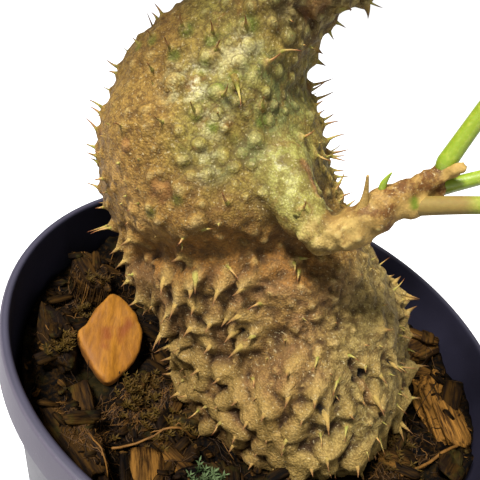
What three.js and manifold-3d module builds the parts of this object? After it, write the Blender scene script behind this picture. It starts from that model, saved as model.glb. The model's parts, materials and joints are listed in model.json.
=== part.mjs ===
// Potted ant plant: a swollen, spiny stem base (the caudex) grown in a round nursery pot of bark mix.
// Millimetres, +Z up, origin at the centre of the pot's base. -Y is the front, with the side shoot to the right.
import * as THREE from "three";
import { mergeVertices } from "three/addons/utils/BufferGeometryUtils.js";
import Module from "manifold-3d";

const wasm = await Module();
wasm.setup();

// Pot
const POT_HEIGHT = 105;
const RIM_RADIUS = 60;
const LIP_WIDTH = 1.9;
const COLLAR_HEIGHT = 7.3;
const COLLAR_SKIRT_RADIUS = 60.4;
const WALL_TOP_RADIUS = 57.9;
const POT_BASE_RADIUS = 46;
const WALL = 1.2;
const POT_FLOOR = 1.6;
const POT_SIDES = 48;
const DRAIN_HOLES = 8;
const DRAIN_RADIUS = 3.5;
const DRAIN_CIRCLE_RADIUS = 35;

// Fill of the pot
const GAP = 0.3; // between pieces that touch
const MIX_LEVEL = 91;
const MIX_ROUGHNESS = 1.2;

// Caudex: middle x, y, z, half width, half depth and lean in degrees of each section, from foot to tip
const SECTIONS = [
  [7, -7, 80, 9, 9, 0],
  [7.5, -7.5, 84, 18, 18, 0],
  [8, -8, 91, 23.5, 24, 0],
  [7, -8, 99, 25.5, 24, -5],
  [4, -7.5, 108, 26.5, 22.5, -12],
  [-3, -6.5, 117, 26.5, 20.5, -16],
  [-10.5, -5.5, 126, 26.5, 21, -14],
  [-17, -4.5, 135, 26, 22.5, -8],
  [-21.2, -3.5, 143.5, 24.6, 22.5, 1.5],
  [-21.4, -2.5, 151, 21.7, 20.5, 9],
  [-21.5, -1.5, 159, 16.5, 17, 13],
  [-19.4, -0.5, 167, 11.8, 13.5, 37],
  [-17.4, 0.5, 175.5, 10.4, 11.5, 44],
  [-10.8, 1.5, 183, 9, 10.3, 49],
  [-3.4, 2, 191, 8.8, 9.3, 28],
  [1, 2, 200, 8.2, 8.3, 18],
  [3.7, 2, 210, 7.4, 7.5, 10],
  [5.5, 2, 220, 6.3, 6.3, 4],
  [6, 2, 226, 2.6, 2.6, 0],
];
const BODY_SIDES = 26;
const BODY_RINGS_PER_SECTION = 2;

// Lower lobe: centre, half width and depth, and its height above and below the centre
const LOBE_CENTRE = new THREE.Vector3(10, -8, 100);
const LOBE_HALF_WIDTH = 25;
const LOBE_HALF_DEPTH = 27.5;
const LOBE_UP = 30;
const LOBE_DOWN = 16;

// Side shoot: centre line x, y, z and radius
const SIDE_SHOOT = [
  [-9, -15, 151, 4.6],
  [-8, -19.5, 149, 4.6],
  [-3.8, -23, 146, 4.4],
  [0.4, -25.2, 144.2, 4],
  [3.3, -26.4, 146.7, 3.1],
  [5.5, -26.4, 150.2, 2.8],
  [7.8, -25.8, 153, 2.6],
  [10, -24.8, 155.6, 2.2],
  [12.4, -24, 157.6, 2.1],
  [13.6, -23.3, 159.7, 1.9],
];
const BROKEN_STUB = [
  [12.6, -24.6, 157.4, 1.1],
  [14.7, -25.1, 160.3, 1],
  [15.9, -25.4, 162.3, 0.9],
];
const THORN = [
  [4.2, -27.6, 150.6, 1.1],
  [3.5, -28, 153.9, 0.5],
  [2.5, -28.5, 157.1, 0.2],
];
const BUD = [
  [6.6, -25.8, 153, 0.7],
  [5.7, -26, 155.7, 0.5],
  [5.9, -26, 157.5, 0.2],
];

// Roots: direction in degrees, spread from the caudex, depth and root radius
const ROOTS = [
  { turn: 20, reach: 20, depth: 58, radius: 2.6 },
  { turn: 95, reach: 16, depth: 44, radius: 2.1 },
  { turn: 165, reach: 22, depth: 50, radius: 2.3 },
  { turn: 240, reach: 15, depth: 62, radius: 2.7 },
  { turn: 310, reach: 19, depth: 40, radius: 2 },
];
const ROOT_SIDES = 5;

// Spines
const SPINE_SPACING = 7.4;
const SPINE_SIDES = 3;
const SPINE_SUNK = 1.2;

// Leaves: where the stalk starts inside the stem, its heading and rise in degrees, how far both turn along
// the leaf, and its lengths; the top leaves start from the stem at a section number
const LEAF_EDGE = 0.8;
const RIB_DEPTH = 1.1;
const SOCKET_DEPTH = 2.2;
const SIDE_LEAVES = [
  {
    name: "side_leaf_upper",
    at: [13.5, -23.3, 159],
    heading: 38, rise: 77, swing: -22, droop: 62, stalk: 36, blade: 72, radius: 1.45,
  },
  {
    name: "side_leaf_middle",
    at: [13.6, -23.2, 156],
    heading: 10, rise: 32, swing: 16, droop: 40, stalk: 30, blade: 66, radius: 1.25,
  },
  {
    name: "side_leaf_lower",
    at: [9.4, -26, 152.9],
    heading: 0, rise: 23, swing: -38, droop: 26, stalk: 31, blade: 62, radius: 1.55,
  },
];
const TOP_LEAVES = [
  { level: 14.6, heading: 200, rise: 40, swing: 10, droop: 48, stalk: 26, blade: 80, radius: 2 },
  { level: 15.3, heading: 330, rise: 46, swing: -8, droop: 50, stalk: 26, blade: 82, radius: 2 },
  { level: 15.8, heading: 95, rise: 44, swing: 8, droop: 52, stalk: 27, blade: 84, radius: 2 },
  { level: 16.3, heading: 255, rise: 56, swing: 6, droop: 50, stalk: 26, blade: 78, radius: 1.9 },
  { level: 16.7, heading: 20, rise: 60, swing: -6, droop: 46, stalk: 25, blade: 74, radius: 1.8 },
  { level: 17.1, heading: 150, rise: 68, swing: 8, droop: 44, stalk: 22, blade: 62, radius: 1.6 },
];

// Bark chips that stand out: middle x, y, z, length, width, thickness, then turn, tip and roll in degrees
const PALE_CHIP_OUTLINE = [[0, 9.5], [6.5, 5], [8, 1.6], [5, -5], [0, -10], [-4.6, -6], [-8, 1], [-4.5, 5.7]];
const CHIPS = [
  { name: "chip_pale", at: [-33.5, -14.5, 96], size: [16, 19, 4], turn: 31, tip: 4, roll: 24 },
  { name: "chip_dark_left", at: [-45, -19, 93.5], size: [23, 9, 6], turn: -50, tip: 6, roll: 10 },
  { name: "chip_ridge_left", at: [-45, 3, 95], size: [22, 9, 8], turn: -40, tip: -8, roll: 12 },
  { name: "chip_red_front", at: [-30, -41.5, 93.5], size: [22, 10, 6], turn: -38, tip: 4, roll: 8 },
  { name: "chip_large_right", at: [48.5, -5, 94], size: [27, 11, 8], turn: -72, tip: 8, roll: -10 },
  { name: "chip_small_right", at: [47, 18.5, 94], size: [13, 9, 5], turn: 40, tip: -10, roll: 6 },
];
const FILL_CHIPS = 26;
const FILL_CHIP_CIRCLE = 47;
const CHIP_SPACING = 15;

const GOLDEN_TURN = 2.399963;
const UP = new THREE.Vector3(0, 0, 1);
const radians = THREE.MathUtils.degToRad;

// Repeatable draw between 0 and 1 for any pair of numbers
function draw(a, b) {
  const s = Math.sin(a * 12.9898 + b * 78.233) * 43758.5453;
  return s - Math.floor(s);
}

// Solids: geometry to manifold and back
function solid(geometry) {
  const bare = new THREE.BufferGeometry();
  bare.setAttribute("position", geometry.getAttribute("position"));
  if (geometry.index) bare.setIndex(geometry.index);
  const merged = mergeVertices(bare, 1e-4);
  const position = merged.getAttribute("position");
  const corners = [];
  let volume = 0;
  const [a, b, c] = [new THREE.Vector3(), new THREE.Vector3(), new THREE.Vector3()];
  for (let i = 0; i < merged.index.count; i += 3) {
    const t = [0, 1, 2].map((k) => merged.index.getX(i + k));
    if (t[0] === t[1] || t[1] === t[2] || t[2] === t[0]) continue;
    [a, b, c].forEach((v, k) => v.fromBufferAttribute(position, t[k]));
    volume += a.dot(b.cross(c));
    corners.push(t);
  }
  if (volume < 0) corners.forEach((t) => t.reverse());
  return new wasm.Manifold(
    new wasm.Mesh({
      numProp: 3,
      vertProperties: new Float32Array(position.array),
      triVerts: new Uint32Array(corners.flat()),
    }),
  );
}

function geometryOf(made) {
  const mesh = made.getMesh();
  const geometry = new THREE.BufferGeometry();
  geometry.setAttribute("position", new THREE.BufferAttribute(new Float32Array(mesh.vertProperties), 3));
  geometry.setIndex(new THREE.BufferAttribute(new Uint32Array(mesh.triVerts), 1));
  const flat = geometry.toNonIndexed();
  flat.computeVertexNormals();
  return flat;
}

function union(solids) {
  return solids.reduce((whole, piece) => whole.add(piece));
}

function largest(made) {
  return made.decompose().reduce((best, body) => (body.volume() > best.volume() ? body : best));
}

// Closed skin over rings of points, each end drawn together at its middle
function loft(rings) {
  const sides = rings[0].length;
  const points = rings.flat();
  const faces = [];
  for (let r = 0; r + 1 < rings.length; r++) {
    for (let s = 0; s < sides; s++) {
      const next = (s + 1) % sides;
      const [a, b, c, d] = [r * sides + s, r * sides + next, (r + 1) * sides + next, (r + 1) * sides + s];
      faces.push(a, b, c, a, c, d);
    }
  }
  [rings[0], rings.at(-1)].forEach((ring, end) => {
    const middle = points.length;
    points.push(ring.reduce((sum, p) => sum.add(p), new THREE.Vector3()).divideScalar(sides));
    const base = end * (rings.length - 1) * sides;
    for (let s = 0; s < sides; s++) {
      const edge = [base + s, base + ((s + 1) % sides)];
      faces.push(middle, ...(end ? edge : edge.reverse()));
    }
  });
  const geometry = new THREE.BufferGeometry().setFromPoints(points);
  geometry.setIndex(faces);
  return solid(geometry);
}

// Smooth value between the rows of a table, at row number u
function between(table, u) {
  const i = Math.min(Math.max(Math.floor(u), 0), table.length - 2);
  const t = u - i;
  const row = (k) => table[Math.min(Math.max(k, 0), table.length - 1)];
  const [p0, p1, p2, p3] = [row(i - 1), row(i), row(i + 1), row(i + 2)];
  return p1.map((_, k) => {
    const slope = p2[k] - p0[k];
    const bend = 2 * p0[k] - 5 * p1[k] + 4 * p2[k] - p3[k];
    const twist = 3 * (p1[k] - p2[k]) + p3[k] - p0[k];
    return p1[k] + 0.5 * t * (slope + t * (bend + t * twist));
  });
}

// Round limb along a table of x, y, z, radius rows
function limb(rows, sides, steps, grow = 0, knots = 0) {
  const rings = [];
  for (let k = 0; k <= steps; k++) {
    const u = (k / steps) * (rows.length - 1);
    const [x, y, z, radius] = between(rows, u);
    const ahead = new THREE.Vector3(...between(rows, Math.min(u + 0.05, rows.length - 1)));
    const behind = new THREE.Vector3(...between(rows, Math.max(u - 0.05, 0)));
    const along = ahead.sub(behind).normalize();
    const across = new THREE.Vector3(0, 1, 0).cross(along).normalize();
    const other = along.clone().cross(across);
    const ring = [];
    for (let s = 0; s < sides; s++) {
      const angle = (s / sides) * 2 * Math.PI;
      const reach = radius * (1 + knots * Math.sin(2 * angle + 2.3 * u) * Math.sin(3.1 * u)) + grow;
      ring.push(
        new THREE.Vector3(x, y, z)
          .addScaledVector(across, reach * Math.cos(angle))
          .addScaledVector(other, reach * Math.sin(angle)),
      );
    }
    rings.push(ring);
  }
  return loft(rings);
}

// Pot: thin wall, stepped-out collar with a rounded lip, flat base with drainage holes
function makePot() {
  const skirt = POT_HEIGHT - COLLAR_HEIGHT;
  const lipInner = RIM_RADIUS - LIP_WIDTH;
  const profile = [
    [0, 0],
    [POT_BASE_RADIUS - 1, 0],
    [POT_BASE_RADIUS, 1],
    [WALL_TOP_RADIUS, skirt - 0.4],
    [COLLAR_SKIRT_RADIUS - 0.3, skirt],
    [COLLAR_SKIRT_RADIUS, skirt + 0.5],
    [RIM_RADIUS, POT_HEIGHT - 1.1],
    [RIM_RADIUS - 0.3, POT_HEIGHT - 0.3],
    [RIM_RADIUS - 0.9, POT_HEIGHT],
    [lipInner + 0.3, POT_HEIGHT - 0.25],
    [lipInner, POT_HEIGHT - 1],
    [lipInner - 0.2, skirt + 1],
    [WALL_TOP_RADIUS - WALL, skirt - 1.2],
    [POT_BASE_RADIUS - WALL, POT_FLOOR],
    [0, POT_FLOOR],
  ].map(([radius, height]) => new THREE.Vector2(radius, height));
  let pot = solid(new THREE.LatheGeometry(profile, POT_SIDES).rotateX(Math.PI / 2));
  for (let k = 0; k < DRAIN_HOLES; k++) {
    const angle = ((k + 0.5) / DRAIN_HOLES) * 2 * Math.PI;
    const hole = new THREE.CylinderGeometry(DRAIN_RADIUS, DRAIN_RADIUS, 3 * POT_FLOOR, 12);
    hole.rotateX(Math.PI / 2);
    hole.translate(DRAIN_CIRCLE_RADIUS * Math.cos(angle), DRAIN_CIRCLE_RADIUS * Math.sin(angle), POT_FLOOR);
    pot = pot.subtract(solid(hole));
  }
  return pot;
}

// Inner radius of the pot's wall at a height
function wallInside(height) {
  const top = POT_HEIGHT - COLLAR_HEIGHT - 1.2;
  const outside = THREE.MathUtils.mapLinear(
    Math.min(height, top), POT_FLOOR, top, POT_BASE_RADIUS, WALL_TOP_RADIUS,
  );
  return outside - WALL;
}

// Low, wide lumps of the caudex as a share of its radius
function lumps(u, angle) {
  const wide = 0.025 * Math.sin(3 * angle + 1.7 * u);
  const small = 0.02 * Math.sin(5 * angle - 2.3 * u + 1);
  return 1 + wide + small;
}

function bodyPoint(u, angle, grow = 0) {
  const [x, y, z, halfWidth, halfDepth, leanDegrees] = between(SECTIONS, u);
  const lean = radians(leanDegrees);
  const sideways = (halfWidth * lumps(u, angle) + grow) * Math.cos(angle);
  const deep = (halfDepth * lumps(u, angle) + grow) * Math.sin(angle);
  return new THREE.Vector3(x + sideways * Math.cos(lean), y + deep, z - sideways * Math.sin(lean));
}

// Lower lobe's surface: rise is the angle above its middle
function lobePoint(rise, angle, grow = 0) {
  const swell = 1 + (lumps(2 * rise + 3, angle) - 1) * Math.cos(rise);
  const flat = Math.cos(rise) * swell;
  const tall = rise < 0 ? LOBE_DOWN : LOBE_UP;
  return new THREE.Vector3(
    LOBE_CENTRE.x + (LOBE_HALF_WIDTH + grow) * flat * Math.cos(angle),
    LOBE_CENTRE.y + (LOBE_HALF_DEPTH + grow) * flat * Math.sin(angle),
    LOBE_CENTRE.z + (tall + grow) * Math.sin(rise) * swell,
  );
}

function ringOf(point, sides) {
  return Array.from({ length: sides }, (_, s) => point((s / sides) * 2 * Math.PI));
}

function makeBody(grow = 0) {
  const steps = (SECTIONS.length - 1) * BODY_RINGS_PER_SECTION;
  const rings = [];
  for (let k = 0; k <= steps; k++) {
    rings.push(ringOf((angle) => bodyPoint(k / BODY_RINGS_PER_SECTION, angle, grow), BODY_SIDES));
  }
  const lobeRings = [];
  for (let k = 1; k < 12; k++) {
    const rise = -Math.PI / 2 + (k / 12) * Math.PI;
    lobeRings.push(ringOf((angle) => lobePoint(rise, angle, grow), BODY_SIDES));
  }
  return loft(rings).add(loft(lobeRings));
}

// Whether a point lies inside the leaning body, or inside the lower lobe
function insideBody(p) {
  for (let u = 0; u < SECTIONS.length - 1; u += 0.25) {
    const [x, y, z, halfWidth, halfDepth, leanDegrees] = between(SECTIONS, u);
    const lean = radians(leanDegrees);
    const [dx, dy, dz] = [p.x - x, p.y - y, p.z - z];
    const along = dx * Math.sin(lean) + dz * Math.cos(lean);
    const sideways = dx * Math.cos(lean) - dz * Math.sin(lean);
    if (Math.abs(along) < 1.5 && Math.hypot(sideways / halfWidth, dy / halfDepth) < 0.97) return true;
  }
  return false;
}

function insideLobe(p) {
  const tall = p.z < LOBE_CENTRE.z ? LOBE_DOWN : LOBE_UP;
  return (
    Math.hypot(
      (p.x - LOBE_CENTRE.x) / LOBE_HALF_WIDTH,
      (p.y - LOBE_CENTRE.y) / LOBE_HALF_DEPTH,
      (p.z - LOBE_CENTRE.z) / tall,
    ) < 0.97
  );
}

// Root points of the spines, in staggered rows over one surface: {p, out, row, count}
function rowsOfSpines(surface, from, to, step, covered) {
  const found = [];
  for (let row = 0; from + row * step < to; row++) {
    const u = from + row * step;
    const round = ringOf((angle) => surface(u, angle), 24);
    const girth = round.reduce((sum, p, k) => sum + p.distanceTo(round[(k + 1) % 24]), 0);
    const count = Math.max(3, Math.round(girth / SPINE_SPACING));
    for (let k = 0; k < count; k++) {
      const shift = u + step * 0.5 * (draw(row, k) - 0.5);
      const angle = ((k + 0.5 * (row % 2) + 0.6 * (draw(k, row) - 0.5)) / count) * 2 * Math.PI;
      const p = surface(shift, angle);
      if (covered(p)) continue;
      const along = surface(shift + 0.02, angle).sub(surface(shift - 0.02, angle));
      const across = surface(shift, angle + 0.02).sub(surface(shift, angle - 0.02));
      found.push({ p, out: across.cross(along).normalize(), row, count: k });
    }
  }
  return found;
}

// One spine: its form follows where it stands, from broad down-turned cones low down to thin spines high up
function shapeSpine({ p, out, row, count }) {
  const chance = draw(row + 31, count + 7);
  const low = THREE.MathUtils.smoothstep(132 - p.z, 0, 24);
  const front = Math.max(0, -out.y);
  const thin = chance > 0.55 + 0.3 * front;
  const base = thin ? 0.8 : 1.2 + 0.5 * low + 0.3 * draw(row, count + 3);
  const tall = thin ? 3.6 + 2 * chance : 1.7 + 3 * low + chance;
  const aim = out.clone().addScaledVector(UP, 0.15 - 0.6 * low).normalize();
  aim.x += 0.3 * (draw(row + 5, count) - 0.5);
  aim.z += 0.3 * (draw(row + 9, count) - 0.5);
  return { p, aim: aim.normalize(), base, tall };
}

function spineSolid({ p, aim, base, tall }, grow = 0) {
  const length = tall + SPINE_SUNK + grow;
  const cone = new THREE.ConeGeometry(base + grow, length, SPINE_SIDES, 1);
  cone.translate(0, length / 2 - SPINE_SUNK, 0);
  cone.applyQuaternion(new THREE.Quaternion().setFromUnitVectors(new THREE.Vector3(0, 1, 0), aim));
  return solid(cone.translate(p.x, p.y, p.z));
}

function makeRoot({ turn, reach, depth, radius }, grow = 0) {
  const heading = new THREE.Vector2(Math.cos(radians(turn)), Math.sin(radians(turn)));
  const rows = [0, 0.3, 0.65, 1].map((t) => {
    const spread = 8 + reach * Math.sin((t * Math.PI) / 2);
    return [8 + heading.x * spread, -7 + heading.y * spread, 88 - depth * t, radius * (1 - 0.7 * t)];
  });
  return limb(rows, ROOT_SIDES, 6, grow);
}

// Leaf: the middle line of stalk and blade, worked out from its heading and rise
function leafLine(leaf, steps, from = 0) {
  const whole = leaf.stalk + leaf.blade;
  const pieces = 60;
  const at = new THREE.Vector3(...leaf.at);
  const line = [];
  for (let k = 0; k <= pieces; k++) {
    const share = k / pieces;
    const rise = radians(leaf.rise - leaf.droop * share * share - 0.25 * leaf.droop * share);
    const heading = radians(leaf.heading + leaf.swing * share);
    const along = new THREE.Vector3(
      Math.cos(rise) * Math.cos(heading),
      Math.cos(rise) * Math.sin(heading),
      Math.sin(rise),
    );
    const side = new THREE.Vector3(-Math.sin(heading), Math.cos(heading), 0);
    line.push({ at: at.clone(), along, side, lift: along.clone().cross(side) });
    at.addScaledVector(along, whole / pieces);
  }
  return Array.from({ length: steps + 1 }, (_, k) => {
    const share = from + ((1 - from) * k) / steps;
    return line[Math.round(share * pieces)];
  });
}

// Half width of the blade at a share of its length
function bladeHalfWidth(share, blade) {
  const widest = 0.21 * blade;
  return Math.max(0.7, widest * Math.sin(Math.PI * share ** 0.85) ** 0.75);
}

// Blade: a thin sheet folded a little along its middle rib, which stands out below
function makeBlade(leaf) {
  const [along, across] = [8, 4];
  const line = leafLine(leaf, along, leaf.stalk / (leaf.stalk + leaf.blade));
  const rings = line.map(({ at, side, lift }, i) => {
    const half = bladeHalfWidth(i / along, leaf.blade);
    const edge = (reach, drop) => {
      const fold = 0.16 * half * Math.abs(reach);
      return at.clone().addScaledVector(side, half * reach).addScaledVector(lift, -fold - drop);
    };
    const reaches = Array.from({ length: across + 1 }, (_, j) => (2 * j) / across - 1);
    const rib = (reach) => (reach === 0 ? RIB_DEPTH * (1 - 0.7 * (i / along)) : 0);
    const top = reaches.map((reach) => edge(reach, -LEAF_EDGE / 2));
    const bottom = reaches.map((reach) => edge(reach, LEAF_EDGE / 2 + rib(reach)));
    return [...top, ...bottom.reverse()];
  });
  return loft(rings);
}

// Stalk: round, a little slimmer towards the blade, and ending inside the blade's foot
function makeLeaf(leaf) {
  const pieces = 12;
  const last = Math.ceil((pieces * (leaf.stalk + 3)) / (leaf.stalk + leaf.blade));
  const rows = leafLine(leaf, pieces)
    .slice(0, last + 1)
    .map(({ at }, k) => [...at.toArray(), leaf.radius * (1 - (0.35 * k) / last)]);
  return limb(rows, 6, last).add(makeBlade(leaf));
}

// Plain hole in the stem that a leaf stalk stands in
function stalkSocket(leaf) {
  const [{ at, along }] = leafLine(leaf, 1);
  const back = at.clone().addScaledVector(along, -GAP);
  const ahead = at.clone().addScaledVector(along, 4 * leaf.radius);
  const reach = leaf.radius + GAP;
  return limb([[...back.toArray(), reach], [...ahead.toArray(), reach]], 6, 1);
}

// A top leaf's stalk starts inside the stem, a socket's depth under its surface
function seatTopLeaf(leaf, k) {
  const [x, y, z, radius] = between(SECTIONS, leaf.level);
  const heading = radians(leaf.heading);
  const inset = radius - SOCKET_DEPTH;
  const at = [x + inset * Math.cos(heading), y + inset * Math.sin(heading), z];
  return { ...leaf, name: `top_leaf_${k + 1}`, at };
}

// Bark chip: an uneven many-sided slab with chipped edges
function makeChip({ name, at, size, turn, tip, roll }, seed, grow = 0) {
  const corners = 6;
  const uneven = Array.from({ length: corners }, (_, k) => {
    const angle = ((k + 0.5 * draw(seed, k)) / corners) * 2 * Math.PI;
    const reach = 0.5 * (0.84 + 0.22 * draw(k, seed));
    return [size[0] * reach * Math.cos(angle), size[1] * reach * Math.sin(angle)];
  });
  const outline = name === "chip_pale" ? PALE_CHIP_OUTLINE : uneven;
  const wider = [1 + (2 * grow) / size[0], 1 + (2 * grow) / size[1]];
  const shape = new THREE.Shape(outline.map(([x, y]) => new THREE.Vector2(x * wider[0], y * wider[1])));
  const bevel = 0.14 * size[2];
  const thick = grow ? size[2] + 2 * grow : size[2] - 2 * bevel;
  const slab = new THREE.ExtrudeGeometry(shape, {
    depth: thick,
    bevelEnabled: grow === 0,
    bevelThickness: bevel,
    bevelSize: bevel,
    bevelOffset: -bevel,
    bevelSegments: 1,
  });
  slab.translate(0, 0, -thick / 2);
  const tilt = new THREE.Euler(radians(roll), radians(tip), radians(turn), "ZYX");
  slab.applyMatrix4(new THREE.Matrix4().makeRotationFromEuler(tilt));
  return solid(slab.translate(...at));
}

// The rest of the chips lie round the caudex, spaced by a rule and clear of the ones that stand out
function fillChips() {
  const found = [];
  for (let k = 0; k < FILL_CHIPS; k++) {
    const angle = k * GOLDEN_TURN + 0.4;
    const circle = FILL_CHIP_CIRCLE - 9 * draw(k, 2);
    const [x, y] = [circle * Math.cos(angle), circle * Math.sin(angle)];
    const near = ({ at }) => Math.hypot(at[0] - x, at[1] - y) < CHIP_SPACING;
    if (CHIPS.some(near)) continue;
    found.push({
      name: `chip_${String(found.length + 1).padStart(2, "0")}`,
      at: [x, y, MIX_LEVEL + 1.6 + 1.6 * draw(k, 3)],
      size: [13 + 9 * draw(k, 4), 8 + 4 * draw(k, 5), 4 + 2.5 * draw(k, 6)],
      turn: 360 * draw(k, 7),
      tip: 30 * (draw(k, 8) - 0.5),
      roll: 30 * (draw(k, 9) - 0.5),
    });
  }
  return found;
}

// Mix: fills the pot from floor to an uneven top
function makeMix() {
  const top = (radius, angle) => {
    const [x, y] = [radius * Math.cos(angle), radius * Math.sin(angle)];
    const rough = MIX_ROUGHNESS * Math.sin(0.31 * x + 1) * Math.cos(0.27 * y);
    return MIX_LEVEL + rough + 0.8 * THREE.MathUtils.smoothstep(radius, 40, 56);
  };
  const sides = POT_SIDES / 2;
  const floor = POT_FLOOR + GAP;
  const circle = (radius, height) =>
    ringOf((a) => new THREE.Vector3(radius * Math.sin(a), -radius * Math.cos(a), height(radius, a)), sides);
  const rings = [20, wallInside(floor) - GAP].map((radius) => circle(radius, () => floor));
  rings.push(circle(wallInside(88) - GAP, () => 88));
  for (const radius of [wallInside(MIX_LEVEL) - 0.8, 49, 40, 30, 15]) rings.push(circle(radius, top));
  return loft(rings);
}

// Assembly
const plant = new THREE.Group();

function place(name, made, colour, roughness) {
  const material = new THREE.MeshStandardMaterial({ color: colour, roughness, metalness: 0 });
  const mesh = new THREE.Mesh(geometryOf(made), material);
  mesh.name = name;
  plant.add(mesh);
}

const leaves = [...SIDE_LEAVES, ...TOP_LEAVES.map(seatTopLeaf)];
const spines = [
  ...rowsOfSpines(bodyPoint, 1.9, 13.4, 0.84, insideLobe),
  ...rowsOfSpines(lobePoint, radians(-14), radians(72), radians(14), insideBody),
].map(shapeSpine);
const lowSpines = spines.filter(({ p, aim, tall }) => Math.min(p.z, p.z + aim.z * tall) < MIX_LEVEL + 9);

let caudex = union([
  makeBody(),
  limb(SIDE_SHOOT, 9, 16, 0, 0.12),
  limb(BROKEN_STUB, 6, 2),
  limb(THORN, 4, 2),
  limb(BUD, 4, 2),
  ...ROOTS.map((root) => makeRoot(root)),
  ...spines.map((spine) => spineSolid(spine)),
]);
leaves.forEach((leaf) => {
  caudex = caudex.subtract(stalkSocket(leaf));
});
caudex = largest(caudex);

const caudexRoom = union([
  makeBody(GAP),
  ...ROOTS.map((root) => makeRoot(root, GAP)),
  ...lowSpines.map((spine) => spineSolid(spine, GAP)),
]);
const potRoom = solid(
  new THREE.CylinderGeometry(wallInside(97) - GAP, wallInside(88) - GAP, 20, POT_SIDES)
    .rotateX(Math.PI / 2)
    .translate(0, 0, 98),
);

let taken = caudexRoom;
let mix = makeMix().subtract(caudexRoom);
[...CHIPS, ...fillChips()].forEach((chip, seed) => {
  const made = makeChip(chip, seed).intersect(potRoom).subtract(taken);
  if (made.isEmpty()) return;
  const piece = largest(made);
  if (piece.volume() < 150) return;
  const room = makeChip(chip, seed, GAP + 0.1);
  taken = taken.add(room);
  mix = mix.subtract(room);
  const pale = chip.name === "chip_pale";
  place(chip.name, piece, pale ? 0xc88a44 : 0x4a3a28, pale ? 0.7 : 0.85);
});

place("pot", makePot(), 0x2b2a33, 0.45);
place("potting_mix", largest(mix), 0x2a2015, 0.95);
place("caudex", caudex, 0x9a8058, 0.6);
leaves.forEach((leaf) => place(leaf.name, makeLeaf(leaf), 0x6f9a2e, 0.4));

export default plant;
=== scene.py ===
# %% [markdown]
# # A potted ant plant
#
# An ant plant swells at the foot of its stem into a spiny, chambered body called a caudex. This one leans
# over its own lower lobe in a C, carries a knobbly side shoot with three leaves, and sits in a round
# nursery pot of bark chips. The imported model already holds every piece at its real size. This lesson
# dresses each of them in a fine mesh and a painted finish, in the same place.

# %% Load the fixed frame
import json
import math

import bmesh
import bpy
import numpy as np
from mathutils import Euler, Matrix, Vector
from mathutils.bvhtree import BVHTree
from mathutils.kdtree import KDTree

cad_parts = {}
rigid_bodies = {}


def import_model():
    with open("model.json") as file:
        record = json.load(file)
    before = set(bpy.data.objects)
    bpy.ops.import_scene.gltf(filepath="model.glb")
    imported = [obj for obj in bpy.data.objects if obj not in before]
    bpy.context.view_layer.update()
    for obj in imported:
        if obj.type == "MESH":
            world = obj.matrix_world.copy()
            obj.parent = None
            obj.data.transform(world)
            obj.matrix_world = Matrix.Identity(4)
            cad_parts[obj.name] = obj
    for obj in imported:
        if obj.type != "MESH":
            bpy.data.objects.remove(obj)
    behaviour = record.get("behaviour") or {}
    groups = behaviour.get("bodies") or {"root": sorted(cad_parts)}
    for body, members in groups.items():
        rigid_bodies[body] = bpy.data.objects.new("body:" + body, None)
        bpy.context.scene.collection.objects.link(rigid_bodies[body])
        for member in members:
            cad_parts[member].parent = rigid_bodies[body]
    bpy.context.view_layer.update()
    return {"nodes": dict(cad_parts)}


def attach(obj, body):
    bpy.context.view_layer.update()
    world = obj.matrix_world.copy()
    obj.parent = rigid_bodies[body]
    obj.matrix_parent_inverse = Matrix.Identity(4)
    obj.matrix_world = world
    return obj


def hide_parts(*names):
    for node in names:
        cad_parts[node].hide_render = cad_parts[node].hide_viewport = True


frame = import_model()
MM = 0.001
print("the frame holds", len(frame["nodes"]), "nodes")

# %% [markdown]
# ## Shader maths that reads like arithmetic
#
# A finish is a small program made of nodes. Wiring nodes one by one hides what the program says, so
# `Socket` wraps one output and lets `+`, `-` and `*` add the Math nodes.


# %% The socket wrapper
class Socket:
    """One output of a shader node, usable in arithmetic."""

    def __init__(self, finish, link):
        self.finish = finish
        self.link = link

    def maths(self, operation, *values):
        return self.finish.node("Math", {"operation": operation}, dict(enumerate(values)))

    def __add__(self, other):
        return self.maths("ADD", self, other)

    def __radd__(self, other):
        return self.maths("ADD", other, self)

    def __sub__(self, other):
        return self.maths("SUBTRACT", self, other)

    def __rsub__(self, other):
        return self.maths("SUBTRACT", other, self)

    def __mul__(self, other):
        return self.maths("MULTIPLY", self, other)

    def __rmul__(self, other):
        return self.maths("MULTIPLY", other, self)

    def ramp(self, low, high):
        """0 below low, 1 above high, and a smooth step between them."""
        inputs = {"Value": self, "From Min": low, "From Max": high}
        return self.finish.node("MapRange", {"interpolation_type": "SMOOTHSTEP"}, inputs)


print("a Socket adds Math nodes")

# %% [markdown]
# `Finish` makes the material and has one method that adds any other node. The settings come first,
# because they can change which inputs exist.


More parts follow.
